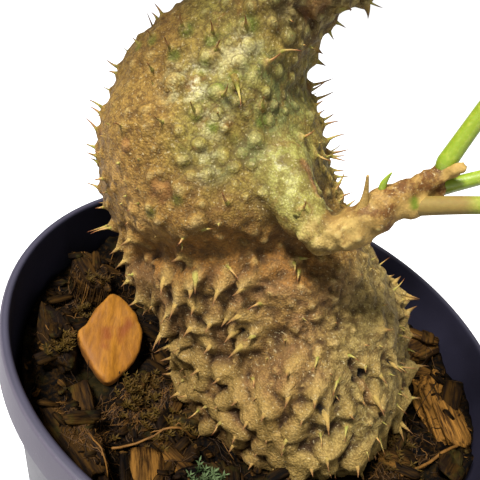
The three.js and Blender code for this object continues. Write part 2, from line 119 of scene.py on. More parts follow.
# %% The finish
class Finish:
    """A material and the nodes that paint it."""

    def __init__(self, name, fixed):
        self.material = bpy.data.materials.new(name)
        self.material.use_nodes = True
        self.tree = self.material.node_tree
        self.shader = self.tree.nodes["Principled BSDF"]
        for label, value in fixed.items():
            self.shader.inputs[label].default_value = value
        self.place = self.node("TexCoord", output="Object")

    def feed(self, target, value):
        if isinstance(value, Socket):
            self.tree.links.new(value.link, target)
        else:
            target.default_value = value

    def node(self, kind, settings=None, inputs=None, output=0):
        node = self.tree.nodes.new("ShaderNode" + kind)
        for label, value in (settings or {}).items():
            setattr(node, label, value)
        for label, value in (inputs or {}).items():
            self.feed(node.inputs[label], value)
        return Socket(self, node.outputs[output])

    def field(self, label):
        """A number kept at the points of the mesh."""
        return self.node("Attribute", {"attribute_name": label}, output="Fac")

    def noise(self, size, detail=2, rough=0.5, vector=None):
        """Soft noise from 0 to 1 whose blotches are about size millimetres across."""
        inputs = {"Vector": vector or self.place, "Scale": 1 / (size * MM)}
        return self.node("TexNoise", {}, {**inputs, "Detail": detail, "Roughness": rough})

    def blend(self, factor, first, second):
        """The colour between two colours."""
        return self.node("Mix", {"data_type": "RGBA"}, {0: factor, 6: first, 7: second}, output=2)

    def bump(self, height, depth, strength=1.0):
        """A normal tilted by a height from 0 to 1, depth millimetres deep."""
        return self.node("Bump", {}, {"Height": height, "Distance": depth * MM, "Strength": strength})

    def paint(self, **values):
        for label, value in values.items():
            self.feed(self.shader.inputs[label.replace("_", " ")], value)
        return self.material


def screen(red, green, blue):
    """A colour given as it reads on a screen, 0 to 255, in the linear light that shaders use."""
    return tuple(((c / 255 + 0.055) / 1.055) ** 2.4 for c in (red, green, blue)) + (1.0,)


print("a Finish holds one material and its nodes")

# %% [markdown]
# ## The camera
#
# The photograph looks down into the pot from close in front, with the camera rolled a little, so the pot's
# rim shows as a leaning ellipse. That ellipse fixes the camera: a rim of known size can look like that from
# one place only. The same numbers give `ray`, which turns a point of the picture into a line through the
# scene, so that a spine seen in the picture can be rooted on the surface where that line meets it.

# %% Camera
PICTURE = 480
FOCAL_PIXELS = 520
SENSOR = 36
CAMERA_AT = np.array([-12.1, -100.3, 185.0])
LOOK_DOWN = 32.1
ROLL = 17.92

camera = bpy.data.objects.new("camera", bpy.data.cameras.new("camera"))
bpy.context.scene.collection.objects.link(camera)
camera.data.sensor_width = SENSOR
camera.data.lens = SENSOR * FOCAL_PIXELS / PICTURE
camera.data.clip_start = 0.005
turn = Euler((math.radians(90 - LOOK_DOWN), 0, 0)).to_matrix() @ Matrix.Rotation(math.radians(ROLL), 3, "Z")
camera.matrix_world = Matrix.Translation(Vector(CAMERA_AT * MM)) @ turn.to_4x4()
bpy.context.scene.camera = camera
VIEW_RIGHT, VIEW_UP, VIEW_BACK = np.array(turn).T


def ray(x, y):
    """Unit direction in which the camera sees a point of the picture."""
    across = (x - PICTURE / 2) / FOCAL_PIXELS
    up = (PICTURE / 2 - y) / FOCAL_PIXELS
    along = across * VIEW_RIGHT + up * VIEW_UP - VIEW_BACK
    return along / np.linalg.norm(along)


print("lens", round(camera.data.lens, 1), "mm")

# %% [markdown]
# ## Floor and light
#
# The page behind the plant is pure white, yet its hollows are dark: the white doesn't light them. So the
# floor glows like a light table, but diffuse rays from the plant don't see it. A dim plain world gives the
# even part of the light. One soft lamp high on the left gives the highlights and leaves the left inside of
# the pot dark, and a weak wide one fills in from the front. The Standard view keeps the white floor white.

# %% Floor and light
FLOOR_HALF = 14.0
WHITE = (1, 1, 1, 1)
FLOOR_GLOW = 0.75
WORLD_LIGHT = 0.34
KEY_POWER, FILL_POWER = 16.5, 1.9
scene = bpy.context.scene
scene.view_settings.view_transform = "Standard"

floor_mesh = bpy.data.meshes.new("floor")
corners = [(x * FLOOR_HALF, y * FLOOR_HALF, 0) for x, y in ((-1, -1), (1, -1), (1, 1), (-1, 1))]
floor_mesh.from_pydata(corners, [], [(0, 1, 2, 3)])
floor = bpy.data.objects.new("floor", floor_mesh)
scene.collection.objects.link(floor)
floor_fixed = {"Roughness": 0.9, "Specular IOR Level": 0.1, "Emission Strength": FLOOR_GLOW}
floor_finish = Finish("studio_floor", floor_fixed)
floor_mesh.materials.append(floor_finish.paint(Base_Color=(0.85, 0.85, 0.85, 1), Emission_Color=WHITE))
floor.visible_diffuse = False

world = bpy.data.worlds.new("studio")
world.use_nodes = True
world.node_tree.nodes["Background"].inputs["Color"].default_value = WHITE
world.node_tree.nodes["Background"].inputs["Strength"].default_value = WORLD_LIGHT
scene.world = world


def soft_lamp(name, at, aim, size, power):
    lamp = bpy.data.objects.new(name, bpy.data.lights.new(name, "AREA"))
    lamp.data.shape = "DISK"
    lamp.data.size = size
    lamp.data.energy = power
    lamp.location = at
    lamp.rotation_euler = (Vector(aim) - Vector(at)).to_track_quat("-Z", "Y").to_euler()
    scene.collection.objects.link(lamp)


soft_lamp("key", (-0.32, -0.3, 0.8), (0, 0, 0.12), 0.2, KEY_POWER)
soft_lamp("fill", (0.5, -0.65, 0.45), (0, 0, 0.14), 0.5, FILL_POWER)
print("two lamps and a plain bright world")

# %% [markdown]
# ## Working on many points at once
#
# The surfaces here have up to a hundred thousand points, so they are kept as arrays of millimetres and
# changed all together. `bumps` is a small random field, repeatable because its grid is seeded.


# %% Array helpers
def smoothstep(low, high, x):
    t = np.clip((np.asarray(x, float) - low) / (high - low), 0, 1)
    return t * t * (3 - 2 * t)


def unit(vectors):
    return vectors / np.maximum(np.linalg.norm(vectors, axis=-1, keepdims=True), 1e-9)


def bumps(points, size, seed=0):
    """Smooth random field from -1 to 1, with bumps about size millimetres across."""
    cells = 32
    grid = np.random.default_rng(seed).uniform(-1, 1, (cells, cells, cells))
    at = np.asarray(points) / size
    cell = np.floor(at).astype(int)
    t = smoothstep(0, 1, at - cell)
    total = np.zeros(len(at))
    for corner in np.ndindex(2, 2, 2):
        weight = np.prod(np.where(corner, t, 1 - t), axis=1)
        i, j, k = ((cell + corner) % cells).T
        total += weight * grid[i, j, k]
    return total


print("bumps at two places:", bumps(np.array([[1, 2, 3], [4, 5, 6]]), 2).round(2))

# %% [markdown]
# A grown form is easily said as a stack of rings. `loft` skins such a stack, `tube` builds one that
# follows a line, and `merge` puts several parts in one list.


# %% Skins over rings
def loft(rings):
    """Points and faces of a closed skin over rings of points, an array of (ring, side, 3)."""
    count, sides = rings.shape[:2]
    ring, side = np.meshgrid(np.arange(count - 1), np.arange(sides), indexing="ij")
    a = ring * sides + side
    b = ring * sides + (side + 1) % sides
    quads = np.stack([a, b, b + sides, a + sides], -1).reshape(-1, 4).tolist()
    ends = [list(range(sides))[::-1], list(range((count - 1) * sides, count * sides))]
    return rings.reshape(-1, 3), quads + ends


def tube(line, radii, sides=8):
    """Round tube along a line of points."""
    along = unit(np.gradient(line, axis=0))
    steady = np.eye(3)[np.argmin(np.abs(along).sum(0))]
    across = unit(np.cross(along, steady))
    other = np.cross(along, across)
    angle = np.linspace(0, 2 * np.pi, sides, endpoint=False)
    ring = across[:, None] * np.cos(angle)[None, :, None] + other[:, None] * np.sin(angle)[None, :, None]
    return loft(line[:, None] + ring * np.asarray(radii)[:, None, None])


def merge(parts):
    """Several (points, faces) as one."""
    points, faces, start = [], [], 0
    for part_points, part_faces in parts:
        points.append(part_points)
        faces += [[corner + start for corner in face] for face in part_faces]
        start += len(part_points)
    return np.concatenate(points), faces


print("a tube over three rings has", len(tube(np.eye(3), [1, 1, 1])[1]), "faces")

# %% [markdown]
# Blender's voxel remesh wraps overlapping parts in one even skin, as clay would join them. So these
# helpers carry arrays into a mesh and out again, and `soften` draws each point towards its neighbours.


# %% Meshes in and out
def mesh_of(name, points, faces):
    mesh = bpy.data.meshes.new(name)
    mesh.from_pydata((np.asarray(points) * MM).tolist(), [], faces)
    return mesh


def arrays_of(mesh):
    """Points in millimetres, faces, edges and normals of a mesh."""
    points = np.zeros(len(mesh.vertices) * 3)
    normals = np.zeros(len(mesh.vertices) * 3)
    edges = np.zeros(len(mesh.edges) * 2, int)
    mesh.vertices.foreach_get("co", points)
    mesh.vertices.foreach_get("normal", normals)
    mesh.edges.foreach_get("vertices", edges)
    faces = [list(face.vertices) for face in mesh.polygons]
    return points.reshape(-1, 3) / MM, faces, edges.reshape(-1, 2), normals.reshape(-1, 3)


def remesh(points, faces, voxel):
    """Wraps overlapping closed parts in one skin of even faces, voxel millimetres wide."""
    draft = bpy.data.objects.new("draft", mesh_of("draft", points, faces))
    bpy.context.scene.collection.objects.link(draft)
    wrap = draft.modifiers.new("wrap", "REMESH")
    wrap.mode = "VOXEL"
    wrap.voxel_size = voxel * MM
    evaluated = draft.evaluated_get(bpy.context.evaluated_depsgraph_get())
    wrapped = arrays_of(bpy.data.meshes.new_from_object(evaluated))
    bpy.data.objects.remove(draft)
    return wrapped


def soften(values, edges, rounds, share=0.5):
    """Each point's values drawn towards the mean of its neighbours, a few times over."""
    first, second = edges.T
    count = np.bincount(edges.ravel(), minlength=len(values))
    size = len(values)
    for _ in range(rounds):
        sums = [
            np.bincount(first, column[second], size) + np.bincount(second, column[first], size)
            for column in values.T
        ]
        values = values + share * (np.stack(sums, axis=1) / count[:, None] - values)
    return values


def normals_of(points, faces):
    return arrays_of(mesh_of("draft", points, faces))[3]


print("arrays can go through Blender and back")

# %% [markdown]
# Each piece goes into the scene the same way: its finish and its marks are attached, and it says which
# solids of the frame it stands for, so that nothing is shown twice.


# %% Adding a piece
def add_piece(name, points, faces, finish, slot, stands_for=(), fields=None):
    """Adds one piece of the plant: a smooth mesh with its finish, riding on the one body."""
    mesh = mesh_of(name, points, faces)
    mesh.shade_smooth()
    for label, values in (fields or {}).items():
        kind, key = ("FLOAT_VECTOR", "vector") if np.ndim(values) == 2 else ("FLOAT", "value")
        attribute = mesh.attributes.new(label, kind, "POINT")
        attribute.data.foreach_set(key, np.asarray(values, np.float32).ravel())
    mesh.materials.append(finish)
    piece = bpy.data.objects.new(name, mesh)
    bpy.context.scene.collection.objects.link(piece)
    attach(piece, "root")
    if stands_for:
        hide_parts(*stands_for)
    print(name, "has", sum(len(face) - 2 for face in faces), "triangles")
    return piece


# %% [markdown]
# ## The form of the caudex
#
# The caudex is a leaning stack of ovals, given at nineteen heights, on a rounded lower lobe. A smooth curve
# through the rows gives the ovals between them, and two slow waves give the surface its low lumps.

# %% Form of the caudex
SECTIONS = np.array([  # middle x, y, z, half width, half depth, lean in degrees
    [7, -7, 80, 9, 9, 0],
    [7.5, -7.5, 84, 18, 18, 0],
    [8, -8, 91, 23.5, 24, 0],
    [7, -8, 99, 25.5, 24, -5],
    [4, -7.5, 108, 26.5, 22.5, -12],
    [-3, -6.5, 117, 26.5, 20.5, -16],
    [-10.5, -5.5, 126, 26.5, 21, -14],
    [-17, -4.5, 135, 26, 22.5, -8],
    [-21.2, -3.5, 143.5, 24.6, 22.5, 1.5],
    [-21.4, -2.5, 151, 21.7, 20.5, 9],
    [-21.5, -1.5, 159, 16.5, 17, 13],
    [-19.4, -0.5, 167, 11.8, 13.5, 37],
    [-17.4, 0.5, 175.5, 10.4, 11.5, 44],
    [-10.8, 1.5, 183, 9, 10.3, 49],
    [-3.4, 2, 191, 8.8, 9.3, 28],
    [1, 2, 200, 8.2, 8.3, 18],
    [3.7, 2, 210, 7.4, 7.5, 10],
    [5.5, 2, 220, 6.3, 6.3, 4],
    [6, 2, 226, 2.6, 2.6, 0],
])
LOBE_CENTRE = np.array([10, -8, 100])
LOBE_HALF_WIDTH = 25
LOBE_HALF_DEPTH = 27.5
LOBE_UP = 30
LOBE_DOWN = 16


print("ovals of the body:", len(SECTIONS))

# %% [markdown]
# The ovals become surfaces: `between` reads the smooth curve through a table, and each surface gives a
# point for a place along it and an angle round it.


# %% Surfaces of the body and the lobe
def between(table, u):
    """Smooth value between the rows of a table, at row numbers u."""
    u = np.asarray(u, float)
    first = np.clip(np.floor(u).astype(int), 0, len(table) - 2)
    t = (u - first)[..., None]
    p0, p1, p2, p3 = (table[np.clip(first + k, 0, len(table) - 1)] for k in (-1, 0, 1, 2))
    bend = 2 * p0 - 5 * p1 + 4 * p2 - p3
    twist = 3 * (p1 - p2) + p3 - p0
    return p1 + 0.5 * t * (p2 - p0 + t * (bend + t * twist))


def lumps(u, angle):
    return 1 + 0.025 * np.sin(3 * angle + 1.7 * u) + 0.02 * np.sin(5 * angle - 2.3 * u + 1)


def body_surface(u, angle):
    x, y, z, half_width, half_depth, lean = np.moveaxis(between(SECTIONS, u), -1, 0)
    lean = np.radians(lean)
    swell = lumps(u, angle)
    sideways = half_width * swell * np.cos(angle)
    deep = half_depth * swell * np.sin(angle)
    return np.stack([x + sideways * np.cos(lean), y + deep, z - sideways * np.sin(lean)], -1)


def lobe_surface(rise, angle):
    """The lower lobe: rise is the angle above its middle."""
    swell = 1 + (lumps(2 * rise + 3, angle) - 1) * np.cos(rise)
    flat = np.cos(rise) * swell
    tall = np.where(rise < 0, LOBE_DOWN, LOBE_UP)
    across, deep = LOBE_HALF_WIDTH * flat * np.cos(angle), LOBE_HALF_DEPTH * flat * np.sin(angle)
    return LOBE_CENTRE + np.stack(np.broadcast_arrays(across, deep, tall * np.sin(rise) * swell), -1)


BODY_RINGS, LOBE_RINGS = 150, 60
AROUND = 96


def grid(surface, first, last, steps, sides):
    u = np.linspace(first, last, steps)[:, None]
    angle = np.linspace(0, 2 * np.pi, sides, endpoint=False)[None, :]
    return loft(surface(*np.broadcast_arrays(u, angle)))


body_part = grid(body_surface, 0, len(SECTIONS) - 1, BODY_RINGS, AROUND)
lobe_part = grid(lobe_surface, -1.5, 1.5, LOBE_RINGS, AROUND)
print("body and lobe:", len(body_part[0]) + len(lobe_part[0]), "points")

# %% [markdown]
# ## The side shoot
#
# The shoot leaves the upper lobe as a green ridge, turns up at a knobbly elbow and ends in the three leaf
# stalks. It carries a broken stub, a thorn and a green bud. It is one body with the caudex, so its tubes
# are wrapped in the same skin. A shoot's knots are the scars of fallen leaves, here swellings along the
# tube, and each leaf stands in a short collar. The thorn and the bud are too fine for the skin, and get
# tubes of their own.

# %% Side shoot
SIDE_SHOOT = np.array([  # centre line x, y, z and radius
    [-9, -15, 151, 4.6],
    [-8, -19.5, 149, 4.6],
    [-3.8, -23, 146, 4.4],
    [0.4, -25.2, 144.2, 4],
    [3.3, -26.4, 146.7, 3.1],
    [5.5, -26.4, 150.2, 2.8],
    [7.8, -25.8, 153, 2.6],
    [10, -24.8, 155.6, 2.2],
    [12.4, -24, 157.6, 2.1],
    [13.6, -23.3, 159.7, 1.9],
])
BROKEN_STUB = np.array([[12.6, -24.6, 157.4, 1.1], [14.7, -25.1, 160.3, 1.0], [15.9, -25.4, 162.3, 0.9]])
THORN = np.array([[4.2, -27.6, 150.6, 1.1], [3.5, -28, 153.9, 0.5], [2.5, -28.5, 157.1, 0.2]])
BUD = np.array([[6.6, -25.8, 153, 0.7], [5.7, -26, 155.7, 0.5], [5.9, -26, 157.5, 0.2]])


def limb(rows, steps, sides=24, knots=0.0):
    u = np.linspace(0, len(rows) - 1, steps)
    line = between(rows, u)
    rings = 1 + knots * np.sin(7.3 * u) * np.sin(2.9 * u + 1)
    return tube(line[:, :3], line[:, 3] * rings, sides)


UNDERSIDE = np.array([
    [3.4, -26.7, 146.4, 2.9], [5.8, -26.9, 148.5, 2.6], [7.6, -26.7, 150.6, 2.1], [9.6, -26.4, 152.8, 1.5],
])
LEAF_BASES = [
    np.array([
        [7.4, -25.8, 151.6, 1.6], [9.4, -26, 152.9, 1.9], [11.4, -26, 153.7, 1.85], [13.4, -26, 154.5, 1.3],
    ]),
    np.array([[13.0, -23.6, 157.2, 1.7], [13.5, -23.3, 159.4, 1.8], [13.9, -23.0, 161.2, 1.65]]),
    np.array([[12.4, -23.5, 155.4, 1.5], [13.9, -23.2, 156.2, 1.6], [15.4, -22.9, 157.1, 1.45]]),
]
THORN_FOOT = np.array([[4.8, -26.2, 149.6, 1.9], [4.4, -27.0, 151.0, 1.3], [4.0, -27.7, 152.6, 0.75]])
SHOOT_STEPS = 400

shoot_parts = [
    limb(SIDE_SHOOT, 120, 32, 0.06),
    limb(THORN_FOOT, 16),
    limb(UNDERSIDE, 24),
    limb(BROKEN_STUB, 16),
    *(limb(rows, 16) for rows in LEAF_BASES),
]
shoot_tree = KDTree(SHOOT_STEPS)
for index, row in enumerate(between(SIDE_SHOOT, np.linspace(0, len(SIDE_SHOOT) - 1, SHOOT_STEPS))):
    shoot_tree.insert(row[:3], index)
shoot_tree.balance()


def along_shoot(points):
    """Row number of the shoot nearest to each point, and the distance to its centre line."""
    found = [shoot_tree.find(point) for point in points]
    row = np.array([hit[1] for hit in found]) * (len(SIDE_SHOOT) - 1) / (SHOOT_STEPS - 1)
    return row, np.array([hit[2] for hit in found])


print("shoot parts:", len(shoot_parts))

# %% [markdown]
# ## One skin
#
# Wrapping body, lobe and shoot in one skin of half-millimetre faces joins them without a seam. The wrap
# keeps a sharp crease where two parts cross, and living tissue has none, so the points are drawn towards
# their neighbours a few times, least on the thin shoot. A few broad swells and hollows bring its outline to
# the picture's, and a crease is pressed in where the upper lobe hangs over the lower one. Four sizes of
# random bumps then roughen the skin: most on the lower lobe, least on the shoot, whose own lumps are the
# joints where its old leaves stood.

# %% One skin
VOXEL = 0.5
FOLD = [
    [-30, -20, 124.5], [-25, -24.5, 128], [-19, -27, 132], [-12, -27, 135.5], [-5, -25, 136.5], [1, -22, 136],
]
FOLD_DEPTH = 3.4
SWELLS = [  # place, radius and lift in mm
    ((-36, -5, 165), 11, 0.7),
    ((5.4, 2.7, 139.6), 7, -2.0),
    ((30, -12.7, 119), 10, -3.8),
    ((26.5, -6.3, 125), 6, -1.0),
    ((31.9, -15.7, 111.8), 9, -0.7),
    ((29, -26, 103), 6, -2.4),
    ((11, -23.6, 158.6), 3.4, -1.0),
]
FOLD_RADIUS = 4.2
FOLD_HEIGHT = 136
FOLD_SLOPE = 0.62
FOLD_LEFT = -10

points, faces, edges, normals = remesh(*merge([body_part, lobe_part, *shoot_parts]), VOXEL)
shoot_row, shoot_distance = along_shoot(points)
on_shoot = (1 - smoothstep(5.6, 8.0, shoot_distance)) * smoothstep(1.8, 3.2, shoot_row)
thick = 1 - on_shoot[:, None]
rooting = (1 - smoothstep(5.0, 11.0, shoot_distance)) * (1 - smoothstep(1.2, 2.6, shoot_row))
points = points + thick * (soften(points, edges, 14) - points)
points = points + rooting[:, None] * (soften(points, edges, 60) - points)
points = soften(points, edges, 2)
normals = normals_of(points, faces)
for middle, radius, amount in SWELLS:
    near_middle = np.exp(-((np.linalg.norm(points - middle, axis=1) / radius) ** 2))
    points = points + (amount * near_middle)[:, None] * normals


def below_fold(at):
    """1 on the lower lobe and 0 on the upper, with the fold between them."""
    fold_height = FOLD_HEIGHT - FOLD_SLOPE * np.maximum(0, FOLD_LEFT - at[:, 0])
    return 1 - smoothstep(-3, 2, at[:, 2] - fold_height)


def on_neck(at):
    """1 on the neck that leaves the upper lobe, 0 below it."""
    return smoothstep(0, 6, at[:, 2] - 166 + 0.6 * (at[:, 0] + 14))

def line_through(spots, at):
    """Distance of each point from a line through a few spots."""
    rows = between(np.array(spots), np.linspace(0, len(spots) - 1, 40))
    return np.linalg.norm(at[:, None] - rows[None], axis=2).min(1)


normals = normals_of(points, faces)
fold_distance = line_through(FOLD, points)
crease = np.exp(-((fold_distance / FOLD_RADIUS) ** 2))
points = points - (FOLD_DEPTH * crease)[:, None] * unit(normals * [1, 1, 0.2])
points = points + crease[:, None] * (soften(points, edges, 6) - points)

lower = below_fold(points)
neck = on_neck(points)
normals = normals_of(points, faces)
relief = 0.6 * bumps(points, 9, 1) + 0.4 * bumps(points, 4.2, 2) + 0.24 * bumps(points, 1.9, 3)
relief = relief + 0.14 * bumps(points, 1.05, 4)
in_fold = np.exp(-((fold_distance / 8) ** 2))
relief = relief * (0.75 + 0.6 * lower + 0.4 * neck + 0.9 * in_fold) * (1 - 0.7 * on_shoot)
crags = lower * (0.4 - 1.3 * np.abs(bumps(points, 5.5, 5)))
crags = crags + neck * (0.6 - 2.2 * np.abs(bumps(points, 3.4, 6)))
crags = crags + in_fold * (0.4 - 1.3 * np.abs(bumps(points, 3.0, 16)))
knobs = on_shoot * (0.55 * bumps(points, 2.4, 7) + 0.25 * bumps(points, 1.2, 8))
points = points + normals * (relief + 0.7 * crags + knobs)[:, None]
normals = normals_of(points, faces)
skin_tree = BVHTree.FromPolygons(points.tolist(), faces)
print("skin:", len(points), "points")

# %% [markdown]
# ## Where the spines stand
#
# Spines and warts stand in loose rows over the whole caudex. Three sets of roots are gathered here. The
# first follows the solids of the frame, row by row. The second is read from the picture, spines as a root
# and a tip in pixels and warts as a middle, because they are what the eye compares first. The third fills
# the gaps at random, with warts and, on the lower lobe, with small cones.


# %% Spine roots from the frame's rule
def draw(a, b):
    """Repeatable draw between 0 and 1 for any pair of numbers."""
    s = math.sin(a * 12.9898 + b * 78.233) * 43758.5453
    return s - math.floor(s)


SPINE_SPACING = 7.4
ROUND = np.linspace(0, 2 * np.pi, 24, endpoint=False)


def rows_of_roots(surface, first, last, step):
    found = []
    for row in range(int(math.ceil((last - first) / step))):
        u = first + row * step
        ring = surface(np.full(len(ROUND), u), ROUND)
        girth = np.linalg.norm(ring - np.roll(ring, -1, axis=0), axis=1).sum()
        count = max(3, round(girth / SPINE_SPACING))
        for k in range(count):
            shift = u + step * 0.5 * (draw(row, k) - 0.5)
            angle = ((k + 0.5 * (row % 2) + 0.6 * (draw(k, row) - 0.5)) / count) * 2 * math.pi
            found.append(surface(np.array(shift), np.array(angle)))
    return found


BODY_ROWS = (1.9, 13.4, 0.84)  # first, last and step, in rows of the sections
LOBE_ROWS = (-14, 72, 14)  # first, last and step, in degrees above the middle
rule_roots = rows_of_roots(body_surface, *BODY_ROWS)
rule_roots += rows_of_roots(lobe_surface, *(math.radians(value) for value in LOBE_ROWS))
print("roots by the rule:", len(rule_roots))

# %% Spines read from the picture
THIN_SPINES = [  # root x, y and tip x, y in the picture
    (162, 15, 154, 3), (157, 19, 151, 12), (139, 45, 132, 37), (119, 67, 106, 59), (115, 73, 108, 71),
    (102, 109, 87, 99), (101, 115, 89, 106), (99, 132, 85, 117), (97, 148, 84, 143), (98, 156, 86, 152),
    (99, 163, 90, 158), (105, 178, 93, 180), (99, 190, 85, 183), (103, 208, 95, 208), (106, 226, 87, 232),
    (110, 231, 90, 234), (172, 49, 164, 36), (152, 37, 147, 30), (153, 71, 147, 62), (166, 123, 153, 115),
    (123, 127, 114, 123), (216, 52, 221, 39), (212, 34, 210, 20), (335, 22, 346, 28), (329, 31, 334, 40),
    (367, 5, 383, 8), (308, 86, 334, 78), (315, 99, 335, 91), (314, 106, 324, 100), (318, 115, 322, 111),
    (320, 121, 335, 113), (322, 126, 340, 121), (325, 142, 346, 134), (334, 153, 350, 149),
    (333, 154, 347, 161), (328, 155, 346, 155), (334, 168, 346, 171), (334, 176, 350, 176),
    (336, 187, 345, 171), (334, 193, 342, 182), (338, 197, 353, 192), (337, 204, 346, 194),
    (352, 206, 357, 199), (301, 138, 315, 130), (314, 153, 332, 161), (339, 376, 333, 396),
    (318, 353, 312, 371), (346, 355, 359, 361), (347, 424, 345, 442), (161, 327, 158, 345),
    (201, 229, 213, 229), (226, 264, 239, 280), (253, 378, 254, 388), (334, 470, 336, 479),
    (293, 262, 294, 274), (265, 64, 281, 53), (279, 53, 302, 51), (184, 28, 180, 13), (245, 27, 244, 14),
    (236, 82, 241, 106), (262, 108, 264, 96), (222, 96, 228, 84), (196, 113, 190, 101),
    (228, 204, 222, 192), (300, 212, 306, 201), (297, 259, 312, 259), (299, 270, 297, 282),
    (184, 236, 177, 246), (135, 274, 124, 275), (263, 303, 247, 310),
]
CONES = [  # root x, y and tip x, y in the picture
    (135, 234, 120, 246), (134, 278, 121, 287), (139, 297, 128, 306), (148, 302, 145, 313),
    (168, 274, 161, 296), (186, 254, 171, 262), (197, 271, 195, 294), (190, 282, 189, 299),
    (182, 293, 169, 320), (171, 322, 152, 351), (198, 305, 191, 316), (223, 280, 212, 307),
    (213, 317, 205, 333), (247, 282, 232, 296), (247, 315, 226, 325), (237, 329, 224, 343),
    (258, 329, 243, 341), (246, 343, 227, 359), (196, 325, 183, 337), (187, 344, 154, 353),
    (212, 342, 203, 354), (178, 374, 162, 374), (186, 356, 160, 361), (205, 366, 190, 376),
    (224, 370, 212, 384), (398, 290, 420, 299), (400, 301, 419, 300), (402, 317, 417, 306),
    (405, 336, 419, 336), (408, 371, 429, 366), (410, 399, 421, 398), (402, 421, 404, 442),
    (405, 423, 413, 434), (393, 283, 401, 276), (372, 391, 385, 417), (326, 449, 329, 472),
    (353, 458, 358, 478), (371, 446, 376, 460), (310, 459, 313, 477), (254, 457, 248, 470),
    (315, 391, 314, 409), (366, 4, 368, 19), (311, 47, 323, 54), (340, 8, 352, 10), (318, 60, 326, 66),
    (286, 440, 281, 456), (240, 430, 232, 444), (268, 408, 261, 422), (292, 366, 286, 378),
    (378, 330, 392, 330), (240, 394, 231, 406), (214, 402, 200, 410), (228, 420, 214, 428),
]
SEEN_WARTS = [  # middle x and y in the picture, radius in mm
    (176, 82, 2.9), (159, 221, 1.8), (207, 59, 2.4), (216, 91, 1.8), (200, 144, 1.7), (255, 140, 2.1),
    (197, 112, 1.8), (196, 222, 2.5), (180, 190, 2.3), (182, 160, 1.7), (207, 175, 1.8), (152, 175, 1.7),
    (161, 172, 1.5), (234, 167, 1.6), (130, 112, 1.4), (170, 64, 1.3), (239, 62, 1.5), (249, 44, 1.6),
    (237, 101, 1.8), (266, 92, 1.4), (274, 105, 1.5), (150, 207, 1.7), (127, 147, 1.5), (221, 235, 1.9),
    (252, 165, 1.5), (262, 192, 1.9), (245, 197, 1.4), (187, 30, 1.4), (212, 42, 1.4), (225, 128, 1.3),
    (317, 243, 2.0), (344, 229, 1.2), (358, 238, 1.3), (331, 246, 1.5), (345, 246, 1.4), (378, 228, 1.1),
    (302, 236, 1.5), (338, 236, 1.1), (352, 227, 1.0), (326, 232, 1.1), (300, 262, 1.2), (291, 303, 1.3),
    (299, 357, 1.4), (318, 350, 1.5), (352, 330, 1.6), (243, 303, 1.2),
]
DEPTH_RANGE = np.linspace(90, 175, 120)


def on_surface(x, y):
    """Point and normal of the skin where the camera sees a pixel, or nearest to that line of sight."""
    along = ray(x, y)
    spot, normal, _, _ = skin_tree.ray_cast(Vector(CAMERA_AT), Vector(along))
    if spot is None:
        near = [skin_tree.find_nearest(Vector(CAMERA_AT + depth * along)) for depth in DEPTH_RANGE]
        spot, normal, _, _ = min(near, key=lambda hit: hit[3])
    return np.array(spot), np.array(normal)


def seen_spine(x, y, tip_x, tip_y, reach):
    """Root, tip and normal of a spine seen in the picture, standing off the surface by about reach."""
    root, normal = on_surface(x, y)
    along = ray(tip_x, tip_y)
    wanted = root + reach * normal
    tip = CAMERA_AT + along * float((wanted - CAMERA_AT) @ along)
    return root, tip, normal


seen_thin = [seen_spine(*row, 3.0) for row in THIN_SPINES]
seen_cones = [seen_spine(*row, 3.6) for row in CONES]
print("seen:", len(seen_thin), "thin spines and", len(seen_cones), "cones")

# %% [markdown]
# A spine's form follows where it stands. Low down and under the overhang they are broad cones that hang and
# run into ribs, higher up they are thin and half green. In the picture the spines of the upper lobe were
# read one by one, so the rule adds only warts to that side. Every root gets a mound in the skin, and all
# but the warts get a spike on it.


# %% Spines and warts
class Growth:
    """Roots, tips and sizes of everything that stands on the skin, gathered one by one."""

    def __init__(self):
        self.rows = []
        self.roots = []

    def clear_of(self, root, distance):
        if not self.roots:
            return True
        return np.linalg.norm(np.array(self.roots) - root, axis=1).min() > distance

    def add(self, root, tip, normal, foot, mound, height, kind):
        self.roots.append(root)
        self.rows.append((root, tip, normal, foot, mound, height, kind))


THIN, CONE, WART = 0, 1, 2
SEEN_CONE = (0.85, 2.8, 0.6)  # foot and mound in mm, and the mound's height as a share of the spine
SEEN_THIN = (0.56, 1.7, 0.34)
RULE_CONE = (0.85, 2.7, 0.6)
RULE_THIN = (0.42, 1.5, 0.28)
SCATTERED = 5200
SOIL = 92
SMOOTH_FRONT = np.array([4, -27, 122])
growth = Growth()


def lowness(root):
    """1 low on the lower lobe, falling to 0 above the fold."""
    return float(smoothstep(0, 22, 132 - root[2]))

def smooth_right(root):
    """1 on the right side of the lower lobe in view, where few spines stand."""
    return float(smoothstep(17, 25, root[0]) * smoothstep(8, -2, root[1]) * smoothstep(96, 104, root[2]))


for root, tip, normal in seen_cones:
    growth.add(root, tip, normal, *SEEN_CONE, CONE)
for root, tip, normal in seen_thin:
    growth.add(root, tip, normal, *SEEN_THIN, THIN)
for x, y, radius in SEEN_WARTS:
    root, normal = on_surface(x, y)
    growth.add(root, root + 0.5 * normal, normal, 0.3, 0.92 * radius, 0.95, WART)

